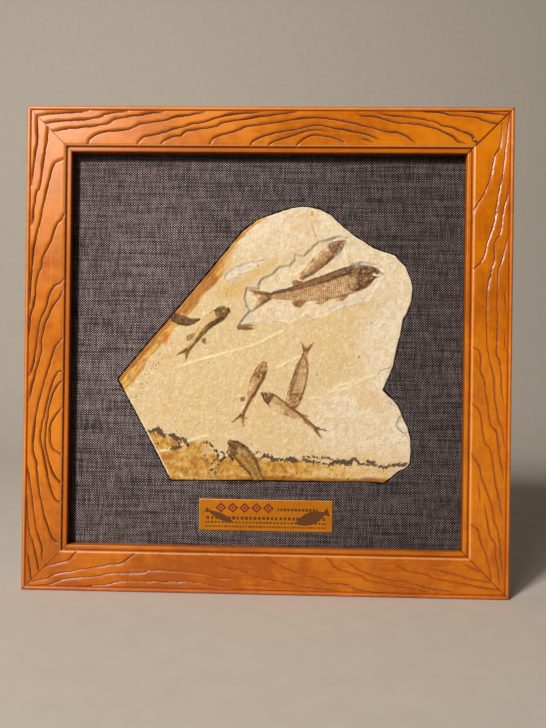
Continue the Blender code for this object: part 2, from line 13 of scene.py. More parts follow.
import bpy
import numpy as np
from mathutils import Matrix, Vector


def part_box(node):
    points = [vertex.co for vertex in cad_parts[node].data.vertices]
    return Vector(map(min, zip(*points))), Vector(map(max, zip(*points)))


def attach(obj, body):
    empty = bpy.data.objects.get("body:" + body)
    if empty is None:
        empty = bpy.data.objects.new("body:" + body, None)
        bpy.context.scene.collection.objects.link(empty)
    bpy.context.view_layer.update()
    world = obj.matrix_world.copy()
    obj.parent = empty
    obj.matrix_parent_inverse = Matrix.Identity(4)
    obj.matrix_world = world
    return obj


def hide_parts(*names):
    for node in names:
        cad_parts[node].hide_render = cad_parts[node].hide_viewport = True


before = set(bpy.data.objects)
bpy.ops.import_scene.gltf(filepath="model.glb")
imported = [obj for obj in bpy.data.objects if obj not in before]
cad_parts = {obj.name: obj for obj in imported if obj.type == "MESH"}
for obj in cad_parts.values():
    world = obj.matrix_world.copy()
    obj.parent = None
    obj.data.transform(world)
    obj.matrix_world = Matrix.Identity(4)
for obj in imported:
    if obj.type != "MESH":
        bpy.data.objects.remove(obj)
log = logging.getLogger("fossil_slab")

MM = 0.001
Array = np.ndarray
Track = list[tuple[float, float]]
Rgb = tuple[int, int, int]
Material = bpy.types.Material
Piece = bpy.types.Object
# Factors that mix whole numbers for lattice, and what keeps four layers of noise near -1 to 1.
HASH_FACTORS = (374761393, 668265263, 144269504, 1274126177)
LOW_32_BITS = 0xFFFFFFFF
LOW_16_BITS = 0xFFFF
LAYERS_SPREAD = 1.6


# ---- numbers over a grid ----

def ease(value: Array, low: float, high: float) -> Array:
    """A smooth S from 0 at low to 1 at high.

    Args:
        value: Numbers to grade.
        low: Where the S starts.
        high: Where the S ends.

    Returns:
        Numbers from 0 to 1.
    """
    share = np.clip((value - low) / (high - low), 0.0, 1.0)
    return share * share * (3.0 - 2.0 * share)


def ridge(value: Array, centre: float, width: float) -> Array:
    """A bell round a centre: e to the power of minus the squared offset over the width."""
    return np.exp(-((value - centre) / width) ** 2)


def lattice(column: Array, row: Array, seed: int) -> Array:
    """A fixed number from 0 to 1 for each whole-number place.

    Args:
        column: Whole numbers across.
        row: Whole numbers up.
        seed: Picks another set of numbers.

    Returns:
        Numbers that look random and never change.
    """
    across, up, other, again = HASH_FACTORS
    mixed = (column * across + row * up + seed * other) & LOW_32_BITS
    mixed = ((mixed ^ (mixed >> 13)) * again) & LOW_32_BITS
    return ((mixed ^ (mixed >> 16)) & LOW_16_BITS) / LOW_16_BITS


def value_noise(x: Array, z: Array, size: float, seed: int) -> Array:
    """Smooth bumps from -1 to 1: lattice numbers blended with an S curve inside each cell.

    Args:
        x: Places across.
        z: Places up.
        size: Cell size, in the places' unit.
        seed: Picks another pattern.

    Returns:
        One number for each place.
    """
    u, v = x / size, z / size
    column, row = np.floor(u).astype(np.int64), np.floor(v).astype(np.int64)
    s, t = ease(u - column, 0.0, 1.0), ease(v - row, 0.0, 1.0)
    low = lattice(column, row, seed) * (1 - s) + lattice(column + 1, row, seed) * s
    high = lattice(column, row + 1, seed) * (1 - s) + lattice(column + 1, row + 1, seed) * s
    return 2.0 * (low * (1 - t) + high * t) - 1.0


def rough_noise(x: Array, z: Array, size: float, seed: int, layers: int = 4) -> Array:
    """Layers of value noise, each half the size and half the height of the one before.

    Args:
        x: Places across.
        z: Places up.
        size: Cell size of the first layer.
        seed: Picks another pattern.
        layers: Number of layers.

    Returns:
        Numbers of about -1 to 1.
    """
    total = np.zeros(np.broadcast(x, z).shape)
    for layer in range(layers):
        total += value_noise(x, z, size / 2 ** layer, seed + layer) / 2 ** layer
    return total / LAYERS_SPREAD


def curve(points: list, spacing: float) -> Array:
    """A curve through given points (Catmull-Rom), cut into short steps.

    Args:
        points: Rows of coordinates, the first two being the place.
        spacing: Wanted length of a step.

    Returns:
        Rows of coordinates along the curve.
    """
    knots = np.array(points, float)
    padded = np.vstack([2 * knots[0] - knots[1], knots, 2 * knots[-1] - knots[-2]])
    runs = []
    for before, start, end, after in zip(padded[:-3], padded[1:-2], padded[2:-1], padded[3:]):
        steps = max(1, round(np.hypot(*(end - start)[:2]) / spacing))
        t = (np.arange(steps) / steps)[:, None]
        square = (2 * before - 5 * start + 4 * end - after) * t ** 2
        cube = (3 * start - before - 3 * end + after) * t ** 3
        runs.append(0.5 * (2 * start + (end - before) * t + square + cube))
    return np.vstack(runs + [knots[-1:]])


def lengths_along(points: Array) -> Array:
    """Length of a line up to each of its points."""
    return np.concatenate([[0.0], np.cumsum(np.hypot(*np.diff(points[:, :2], axis=0).T))])


def to_track(x: Array, z: Array, track: Array) -> tuple[Array, Array, Array]:
    """How each place lies to a line of short segments.

    Args:
        x: Places across.
        z: Places up.
        track: Rows whose first two numbers are the line's points.

    Returns:
        Distance to the line, length along it to the nearest point, and +1 on its left or -1 on its right.
    """
    best = np.full(x.shape, np.inf)
    along, side = np.zeros(x.shape), np.ones(x.shape)
    passed = 0.0
    for start, end in zip(track[:-1], track[1:]):
        dx, dz = end[0] - start[0], end[1] - start[1]
        length = max(math.hypot(dx, dz), 1e-9)
        share = np.clip(((x - start[0]) * dx + (z - start[1]) * dz) / length ** 2, 0.0, 1.0)
        gap_x, gap_z = x - start[0] - share * dx, z - start[1] - share * dz
        distance = np.hypot(gap_x, gap_z)
        nearer = distance < best
        best = np.where(nearer, distance, best)
        along = np.where(nearer, passed + share * length, along)
        side = np.where(nearer, np.where(dx * gap_z - dz * gap_x >= 0.0, 1.0, -1.0), side)
        passed += length
    return best, along, side


def to_outline(x: Array, z: Array, outline: list | Array) -> Array:
    """Distance to a closed outline, negative inside it.

    Args:
        x: Places across.
        z: Places up.
        outline: The outline's corners.

    Returns:
        One distance for each place.
    """
    ring = np.array(outline, float)[:, :2]
    closed = np.vstack([ring, ring[:1]])
    distance = to_track(x, z, closed)[0]
    inside = np.zeros(x.shape, bool)
    for (ax, az), (bx, bz) in zip(closed[:-1], closed[1:]):
        rise = bz - az if abs(bz - az) > 1e-12 else 1e-12
        inside ^= ((az > z) != (bz > z)) & (x < ax + (z - az) / rise * (bx - ax))
    return np.where(inside, -distance, distance)


def joined(*numbers: Array) -> Array:
    """Arrays side by side along a new last axis."""
    return np.stack(numbers, axis=-1)


def even_outline(outline: Array, count: int) -> Array:
    """A closed outline as points at equal steps along it, starting from its first point.

    Args:
        outline: The outline's corners.
        count: Number of points.

    Returns:
        The points, the first one not repeated.
    """
    closed = np.vstack([outline, outline[:1]])
    reach = lengths_along(closed)
    wanted = np.arange(count) / count * reach[-1]
    return np.stack([np.interp(wanted, reach, closed[:, k]) for k in (0, 1)], axis=1)


def grown_outline(ring: Array, distance: Array | float) -> Array:
    """A closed counter-clockwise outline moved outwards along its smoothed normals.

    Args:
        ring: The outline's points.
        distance: How far, for all points or for each.

    Returns:
        The moved points.
    """
    along = np.roll(ring, -2, axis=0) - np.roll(ring, 2, axis=0)
    normal = joined(along[:, 1], -along[:, 0])
    normal /= np.linalg.norm(normal, axis=1, keepdims=True)
    return ring + normal * np.reshape(distance, (-1, 1))


# ---- meshes ----

def grid_quads(rows: int, columns: int, closed: bool = False) -> Array:
    """Corner numbers of the quads of a grid that is stored row by row.

    Args:
        rows: Rows of points.
        columns: Points in a row.
        closed: Whether the last column joins the first.

    Returns:
        One row of four corner numbers for each quad.
    """
    last = columns if closed else columns - 1
    row, column = np.meshgrid(np.arange(rows - 1), np.arange(last), indexing="ij")
    after = (column + 1) % columns
    near, far = row * columns, (row + 1) * columns
    return joined(near + column, near + after, far + after, far + column).reshape(-1, 4)


@dataclass
class Surface:
    """Points, faces and painted values of one piece, before it becomes a mesh."""

    points: Array
    quads: Array
    caps: list[list[int]] = field(default_factory=list)
    values: dict[str, Array] = field(default_factory=dict)
    flat_map: Array | None = None

    def face_outwards(self) -> None:
        """Turn every face round if the closed surface's volume comes out negative."""
        a, b, c, d = (self.points[self.quads[:, k]] for k in range(4))
        volume = (a * np.cross(b, c)).sum() + (a * np.cross(c, d)).sum()
        if volume < 0:
            self.quads = self.quads[:, ::-1]
            self.caps = [cap[::-1] for cap in self.caps]

    def to_object(self, name: str, material: Material, sharp: float = 180.0) -> Piece:
        """Make the mesh and its object.

        Args:
            name: The piece's name.
            material: Its finish.
            sharp: Edges that turn by more than this, in degrees, stay sharp.

        Returns:
            The object, at the origin and linked to the scene.
        """
        mesh = bpy.data.meshes.new(name)
        mesh.from_pydata(self.points.tolist(), [], self.quads.tolist() + self.caps)
        for key, numbers in self.values.items():
            kind, slot = ("FLOAT", "value") if numbers.ndim == 1 else ("FLOAT_VECTOR", "vector")
            made = mesh.attributes.new(key, kind, "POINT")
            made.data.foreach_set(slot, np.ascontiguousarray(numbers, np.float32).ravel())
        if self.flat_map is not None:
            corners = np.empty(len(mesh.loops), np.int32)
            mesh.loops.foreach_get("vertex_index", corners)
            layer = mesh.uv_layers.new(name="UVMap")
            layer.data.foreach_set("uv", self.flat_map[corners].astype(np.float32).ravel())
        mesh.shade_smooth()
        if sharp < 180.0:
            mesh.set_sharp_from_angle(angle=math.radians(sharp))
        mesh.materials.append(material)
        mesh.update()
        made_object = bpy.data.objects.new(name, mesh)
        bpy.context.scene.collection.objects.link(made_object)
        return made_object


def place(piece: Piece, slot: str, *nodes: str) -> Piece:
    """Let a new piece ride on the frame's one body and stand for the given solids.

    Args:
        piece: The piece.
        slot: Not used.
        nodes: The solids that it stands for.

    Returns:
        The piece.
    """
    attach(piece, "root")
    if nodes:
        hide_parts(*nodes)
    log.info("%s: %d faces", piece.name, len(piece.data.polygons))
    return piece


# ---- shader trees ----

def tint(colour: Rgb) -> tuple[float, float, float, float]:
    """A screen colour from 0 to 255 as linear light.

    Args:
        colour: Red, green and blue.

    Returns:
        The same as linear light, with full alpha.
    """
    share = np.array(colour) / 255.0
    linear = np.where(share <= 0.04045, share / 12.92, ((share + 0.055) / 1.055) ** 2.4)
    return (*linear.tolist(), 1.0)


class Signal:
    """What one output of a node carries; sums on it add Math nodes to its tree."""

    def __init__(self, graph: "Graph", socket: bpy.types.NodeSocket) -> None:
        """Keep the graph and the socket."""
        self.graph, self.socket = graph, socket

    def other(self, name: str) -> "Signal":
        """Another output of the same node."""
        return Signal(self.graph, self.socket.node.outputs[name])

    def __add__(self, more: object) -> "Signal":
        """This plus another."""
        return self.graph.calc("ADD", self, more)

    def __sub__(self, less: object) -> "Signal":
        """This less another."""
        return self.graph.calc("SUBTRACT", self, less)

    def __rsub__(self, whole: float) -> "Signal":
        """A number less this."""
        return self.graph.calc("SUBTRACT", whole, self)

    def __mul__(self, factor: object) -> "Signal":
        """This times another."""
        return self.graph.calc("MULTIPLY", self, factor)

    def __truediv__(self, unit: float) -> "Signal":
        """This counted in a unit."""
        return self.graph.calc("DIVIDE", self, unit)

    def __abs__(self) -> "Signal":
        """This without its sign."""
        return self.graph.calc("ABSOLUTE", self)


class Graph:
    """A short way to add nodes to one tree and join them."""

    def __init__(self, tree: bpy.types.NodeTree) -> None:
        """Work on one tree."""
        self.tree = tree

    def fill(self, node: bpy.types.Node, sockets: dict) -> None:
        """Join inputs of a node to signals, or set their own values.

        Args:
            node: The node.
            sockets: What goes into each input, by its name or number.
        """
        for key, value in sockets.items():
            if isinstance(value, Signal):
                self.tree.links.new(value.socket, node.inputs[key])
            else:
                node.inputs[key].default_value = value

    def add(self, kind: str, sockets: dict | None = None, out: int | str = 0, **settings: object) -> Signal:
        """Add a node.

        Args:
            kind: The node's type, without the word ShaderNode in front.
            sockets: What goes into its inputs.
            out: The output that is wanted.
            settings: The node's own settings.

        Returns:
            That output.
        """
        node = self.tree.nodes.new("ShaderNode" + kind)
        for key, value in settings.items():
            setattr(node, key, value)
        self.fill(node, sockets or {})
        return Signal(self, node.outputs[out])

    def group(self, tree: bpy.types.NodeTree, where: Signal, **sockets: object) -> Signal:
        """The first output of a node group that is placed with its own values."""
        return self.add("Group", {"Place": where, **sockets}, node_tree=tree)

    def calc(self, operation: str, a: object, b: object = 0.0, clamp: bool = False) -> Signal:
        """One sum of a Math node, such as SINE or MAXIMUM."""
        return self.add("Math", {0: a, 1: b}, operation=operation, use_clamp=clamp)

    def grade(self, value: Signal, low: float, high: float, start: float = 0.0, end: float = 1.0) -> Signal:
        """A smooth S of a value from start, at low, to end, at high."""
        sockets = {"Value": value, "From Min": low, "From Max": high, "To Min": start, "To Max": end}
        return self.add("MapRange", sockets, "Result", interpolation_type="SMOOTHSTEP")

    def blend(self, share: Signal, a: object, b: object, way: str = "MIX") -> Signal:
        """Two colours mixed by a share; a screen colour is made linear."""
        a, b = (tint(each) if isinstance(each, tuple) and len(each) == 3 else each for each in (a, b))
        return self.add("Mix", {0: share, 6: a, 7: b}, 2, data_type="RGBA", blend_type=way)

    def layers(self, colour: Signal, *coats: tuple[Signal, object]) -> Signal:
        """Coats of colour laid over one another.

        Args:
            colour: The colour below.
            coats: The share and the colour of each coat, in order.

        Returns:
            The colour on top.
        """
        for share, coat in coats:
            colour = self.blend(share, colour, coat)
        return colour

    def ramp(self, value: Signal, *stops: tuple[float, Rgb]) -> Signal:
        """A colour read along a value.

        Args:
            value: The value.
            stops: Where each colour lies, and the colour.

        Returns:
            The colour.
        """
        made = self.add("ValToRGB", {0: value})
        row = made.socket.node.color_ramp.elements
        while len(row) < len(stops):
            row.new(1.0)
        for element, (where, colour) in zip(row, stops):
            element.position = where
            element.color = tint(colour)
        return made

    def noise(self, where: Signal, scale: object, detail: float = 3.0, rough: float = 0.5,
              bend: float = 0.0) -> Signal:
        """Noise from 0 to 1 with a number of bumps per unit."""
        sockets = {"Vector": where, "Scale": scale, "Detail": detail, "Roughness": rough, "Distortion": bend}
        return self.add("TexNoise", sockets)

    def join(self, *numbers: Signal) -> Signal:
        """A vector of two or three numbers."""
        return self.add("CombineXYZ", dict(enumerate(numbers)))

    def split(self, vector: Signal) -> tuple[Signal, Signal, Signal]:
        """The three numbers of a vector."""
        first = self.add("SeparateXYZ", {0: vector})
        return first, first.other("Y"), first.other("Z")

    def vector(self, name: str) -> tuple[Signal, Signal, Signal]:
        """The three numbers of a vector painted on the piece."""
        return self.split(self.add("Attribute", out="Vector", attribute_name=name))

    def place(self, which: str = "Object") -> Signal:
        """Object or UV coordinates."""
        return self.add("TexCoord", out=which)

    def bump(self, height: Signal, depth: float, strength: float = 1.0) -> Signal:
        """A normal bent by a height of 0 to 1 over a depth in metres."""
        return self.add("Bump", {"Height": height, "Distance": depth, "Strength": strength})


def new_material(name: str, colour: Rgb) -> tuple[Material, Graph, bpy.types.Node]:
    """An empty Principled material.

    Args:
        name: Its name.
        colour: Its flat colour in plain views.

    Returns:
        The material, its graph and its Principled shader.
    """
    made = bpy.data.materials.new(name)
    made.use_nodes = True
    made.diffuse_color = tint(colour)
    return made, Graph(made.node_tree), made.node_tree.nodes["Principled BSDF"]


def new_group(name: str, numbers: dict[str, float],
              *results: str) -> tuple[Graph, list[Signal], bpy.types.Node]:
    """An empty node group that takes a place and some numbers, and puts out numbers.

    Args:
        name: Its name.
        numbers: The numbers that it takes, with their starting values.
        results: Names of the numbers that it puts out.

    Returns:
        Its graph, what it takes, starting with the place, and the node that its results go into.
    """
    made = bpy.data.node_groups.new(name, "ShaderNodeTree")
    made.interface.new_socket("Place", in_out="INPUT", socket_type="NodeSocketVector")
    for key, start in numbers.items():
        made.interface.new_socket(key, in_out="INPUT", socket_type="NodeSocketFloat").default_value = start
    for key in results:
        made.interface.new_socket(key, in_out="OUTPUT", socket_type="NodeSocketFloat")
    g = Graph(made)
    inside = made.nodes.new("NodeGroupInput").outputs
    return g, [Signal(g, inside[key]) for key in ("Place", *numbers)], made.nodes.new("NodeGroupOutput")


class Effects:
    """The node groups that several finishes share."""

    def __init__(self) -> None:
        """Build each group once."""
        self.drift = self._drift()
        self.fibre = self._fibre()
        self.dust = self._dust()
        self.wear = self._wear()

    def _drift(self) -> bpy.types.NodeTree:
        """Slow and fine changes of tone: broad noise with finer noise on it, from 0 to 1.

        Returns:
            The group.
        """
        starts = {"Broad": 20.0, "Fine": 200.0, "Mix": 0.4}
        g, (where, broad, fine, mix), result = new_group("tone_drift", starts, "Tone")
        slow, quick = g.noise(where, broad, 2.0, 0.5, 0.3), g.noise(where, fine, 3.0, 0.6)
        g.fill(result, {"Tone": g.grade(g.add("Mix", {0: mix, 2: slow, 3: quick}), 0.25, 0.75)})
        return g.tree

    def _fibre(self) -> bpy.types.NodeTree:
        """Long fibres along the first axis: noise squeezed across them, and short dark pores.

        Returns:
            The group.
        """
        starts = {"Across": 900.0, "Along": 25.0}
        g, (where, across, along), result = new_group("fibre", starts, "Fibre", "Pore")
        thin = g.add("VectorMath", {0: where, 1: g.join(along, across, along)}, operation="MULTIPLY")
        pore = g.grade(g.noise(thin, 1.9, 2.0, 0.7), 0.66, 0.74)
        g.fill(result, {"Fibre": g.noise(thin, 1.0, 4.0, 0.6, 0.2), "Pore": pore})
        return g.tree

    def _dust(self) -> bpy.types.NodeTree:
        """Fine dust: it lies thickest where a face looks up, broken by noise.

        Returns:
            The group.
        """
        g, (where, amount), result = new_group("dust", {"Amount": 0.3}, "Mask")
        lying = g.grade(g.split(g.add("NewGeometry", out="Normal"))[2], 0.1, 0.9, 0.12, 1.0)
        cloud = g.grade(g.noise(where, 160.0, 5.0, 0.7), 0.38, 0.72)
        g.fill(result, {"Mask": g.calc("MULTIPLY", lying * cloud, amount, True)})
        return g.tree

    def _wear(self) -> bpy.types.NodeTree:
        """Rubbed edges, and on the wood also painted highlights: the painted edge value, eaten into by noise.

        Returns:
            The group.
        """
        g, (where, edge, amount), result = new_group("edge_wear", {"Edge": 0.0, "Amount": 0.5}, "Mask")
        rubbed = g.grade(edge + g.noise(where, 420.0, 4.0, 0.7), 1.0, 1.45)
        g.fill(result, {"Mask": g.calc("MULTIPLY", rubbed, amount, True)})
        return g.tree


# ---- finishes ----

@dataclass(frozen=True)
class LacqueredWood:
    """Amber lacquer over wood whose carved grain keeps a dark glazing, with painted shade in the moulding's
    hollows and carved strokes and painted highlights on the strokes and the outer bead; the back is bare
    wood.
    """

    light: Rgb = (230, 136, 6)
    middle: Rgb = (212, 116, 2)
    deep: Rgb = (174, 84, 1)
    smoky: Rgb = (154, 88, 32)
    glaze_and_shade: Rgb = (96, 46, 8)
    edge_red: Rgb = (208, 86, 18)
    pooled: Rgb = (186, 92, 2)
    # worn: rubbed lacquer, and the colour of the painted highlights on the carving and the outer bead
    worn: Rgb = (238, 172, 104)
    bare: Rgb = (205, 176, 134)
    dusty: Rgb = (214, 196, 170)
    bare_from: float = 0.0112
    roughness: float = 0.31

    def build(self, effects: Effects) -> Material:
        """Make the material; along and across the rail come from the piece's UV map.

        Args:
            effects: The shared node groups.

        Returns:
            The material.
        """
        made, g, shader = new_material("lacquered_wood", self.middle)
        where = g.place()
        _, depth, height = g.split(where)
        # The moulding's first value is dark glazing and also painted shade in the groove, the shoulder's
        # foot, the lip's inner wall and the carved strokes; its second value holds rubbed edges and painted
        # highlights; a negative third value is a painted highlight on the outer bead
        hollow, edge, red = g.vector("moulding")
        fibre = g.group(effects.fibre, g.place("UV"), Across=1100.0, Along=26.0)
        drift = g.group(effects.drift, where, Broad=22.0, Fine=150.0, Mix=0.35)
        dust = g.group(effects.dust, where, Amount=0.05)
        stain = g.noise(where, 500.0, 3.0, 0.6)
        held = hollow + (stain - 0.5) * 0.45
        # painted shade: the tone darkens towards the bottom of the frame, where less light falls; roughness
        # also rises there
        shade_low_down = g.grade(height, 0.02, 0.05, 1.0, 0.0)
        tone = fibre * 0.5 + drift * 0.5 - shade_low_down * 0.22
        bare = g.grade(depth + stain * 0.0006, self.bare_from, self.bare_from + 0.0005)
        colour = g.layers(
            g.ramp(tone, (0.2, self.deep), (0.5, self.middle), (0.82, self.light)),
            (fibre.other("Pore") * 0.35, self.deep),
            (red * 0.75, self.edge_red),
            # painted highlight: where the moulding's third value is negative, the outer bead's crest takes
            # the pale worn colour
            (g.grade(red, 0.0, -1.0, 0.0, 0.8), self.worn),
            (g.grade(g.noise(where, 38.0, 3.0, 0.6, 0.5), 0.5, 0.78, 0.0, 0.3), self.smoky),
            # painted shade as well as glazing: the deep, pooled and dark glazing colours follow the
            # moulding's first value
            (g.grade(held, 0.03, 0.32, 0.0, 0.65), self.deep),
            (g.grade(hollow, 0.03, 0.15) * g.grade(hollow, 0.35, 0.6, 1.0, 0.0) * 0.8, self.pooled),
            (g.grade(held, 0.16, 0.56, 0.0, 0.92), self.glaze_and_shade),
            # painted highlight as well as wear: the edge value holds the bright crests and lit cuts of the
            # carved strokes
            (g.group(effects.wear, where, Edge=edge, Amount=0.6), self.worn),
            (dust, self.dusty),
            (bare, g.blend(fibre, self.bare, self.worn)))
        gloss = g.calc("MAXIMUM", drift * 0.1 + (self.roughness - 0.05) + shade_low_down * 0.1, bare * 0.85)
        skin = fibre * 0.8 + g.noise(where, 900.0, 2.0) * 0.25
        g.fill(shader, {"Base Color": colour, "Roughness": gloss + dust * 0.5, "Coat Weight": 0.05,
                        "Coat Roughness": 0.28, "Specular IOR Level": 0.38,
                        "Normal": g.bump(skin, 0.00008, 0.6)})
        return made


@dataclass(frozen=True)
class HeatherLinen:
    """Plain-woven linen of dark and pale heather yarns, with painted light: diagonal highlights across the
    weave, lighter towards the left, and painted shadow under the frame's top and left lip.
    """

    warp_pitch: float = 0.00095
    weft_pitch: float = 0.00084
    dark: Rgb = (6, 4, 5)
    middle: Rgb = (40, 33, 33)
    pale: Rgb = (204, 186, 184)
    painted_left_light: tuple[float, float, float, float] = (2.12, 2.07, 2.10, 1.0)
    lip_shadow: tuple[float, float, float, float] = (0.32, 0.27, 0.25, 1.0)
    opening_left: float = -0.145
    opening_top: float = 0.320

    def build(self, effects: Effects) -> Material:
        """Make the material; the weave is laid out over the piece's Object coordinates.

        Args:
            effects: The shared node groups.

        Returns:
            The material.
        """
        made, g, shader = new_material("heather_linen", self.middle)
        where = g.place()
        x, _, z = g.split(where)
        u = (x + (g.noise(where, 90.0, 2.0) - 0.5) * 0.0011) / self.warp_pitch
        v = (z + (g.noise(where, 70.0, 2.0, 0.5, 0.4) - 0.5) * 0.0011) / self.weft_pitch
        warp_number, weft_number = g.calc("FLOOR", u), g.calc("FLOOR", v)
        across, up = g.calc("SINE", u * math.pi), g.calc("SINE", v * math.pi)
        warp_on_top, rounding = g.grade(across * up, -0.22, 0.22), abs(across) * abs(up)
        warp_yarn = g.noise(g.join(warp_number, v * 0.035), 1.7, 3.0, 0.7)
        weft_yarn = g.noise(g.join(u * 0.035, weft_number), 1.7, 3.0, 0.7)
        slub = g.noise(g.join(u * 0.02, weft_number), 0.83, 2.0, 0.6)
        crumb = g.noise(where, 1500.0, 2.0, 0.6)
        warp = g.grade(warp_yarn, 0.3, 0.72, 0.5, 0.84) + crumb * 0.26
        weft = g.grade(weft_yarn, 0.34, 0.72, -0.04, 0.24) + crumb * 0.12
        # painted highlight: diagonal bands, falling to the right, brighten and darken the weave like the
        # light's slanted highlights on the yarns
        slant_highlight = g.calc("SINE", (u + v - 0.5) * math.pi)
        shade = g.add("Mix", {0: warp_on_top, 2: weft, 3: warp}) * g.grade(slant_highlight, -1.0, 1.0, 0.38, 0.94)
        shade = shade * g.grade(rounding, 0.0, 0.6, 0.58, 1.0) * g.grade(slub, 0.32, 0.62, 0.78, 1.08)
        colour = g.ramp(shade, (0.0, self.dark), (0.42, self.middle), (0.95, self.pale))
        drift = g.group(effects.drift, where, Broad=9.0, Fine=60.0, Mix=0.3)
        # painted light: the cloth is lighter towards the left, where the lamp stands
        side = g.grade(x, -0.13, 0.12, 1.0, 0.0) * (drift + 0.4)
        colour = g.blend(side * 0.8, colour, self.painted_left_light, "MULTIPLY")
        colour = g.blend(g.group(effects.dust, where, Amount=0.12), colour, self.pale)
        # painted shadow: a darker margin on the cloth under the top lip and beside the left lip, where the
        # frame's shadow falls
        shadow_below_lip = g.grade(z, self.opening_top - 0.0062, self.opening_top - 0.0050)
        shadow_beside_lip = g.grade(x, self.opening_left + 0.0037, self.opening_left + 0.0048, 1.0, 0.0)
        colour = g.blend(g.calc("MAXIMUM", shadow_below_lip, shadow_beside_lip), colour, self.lip_shadow, "MULTIPLY")
        g.fill(shader, {"Base Color": colour, "Roughness": 0.95, "Specular IOR Level": 0.2,
                        "Normal": g.bump(rounding * 0.7 + warp_on_top * 0.3, 0.0004, 0.9)})
        return made


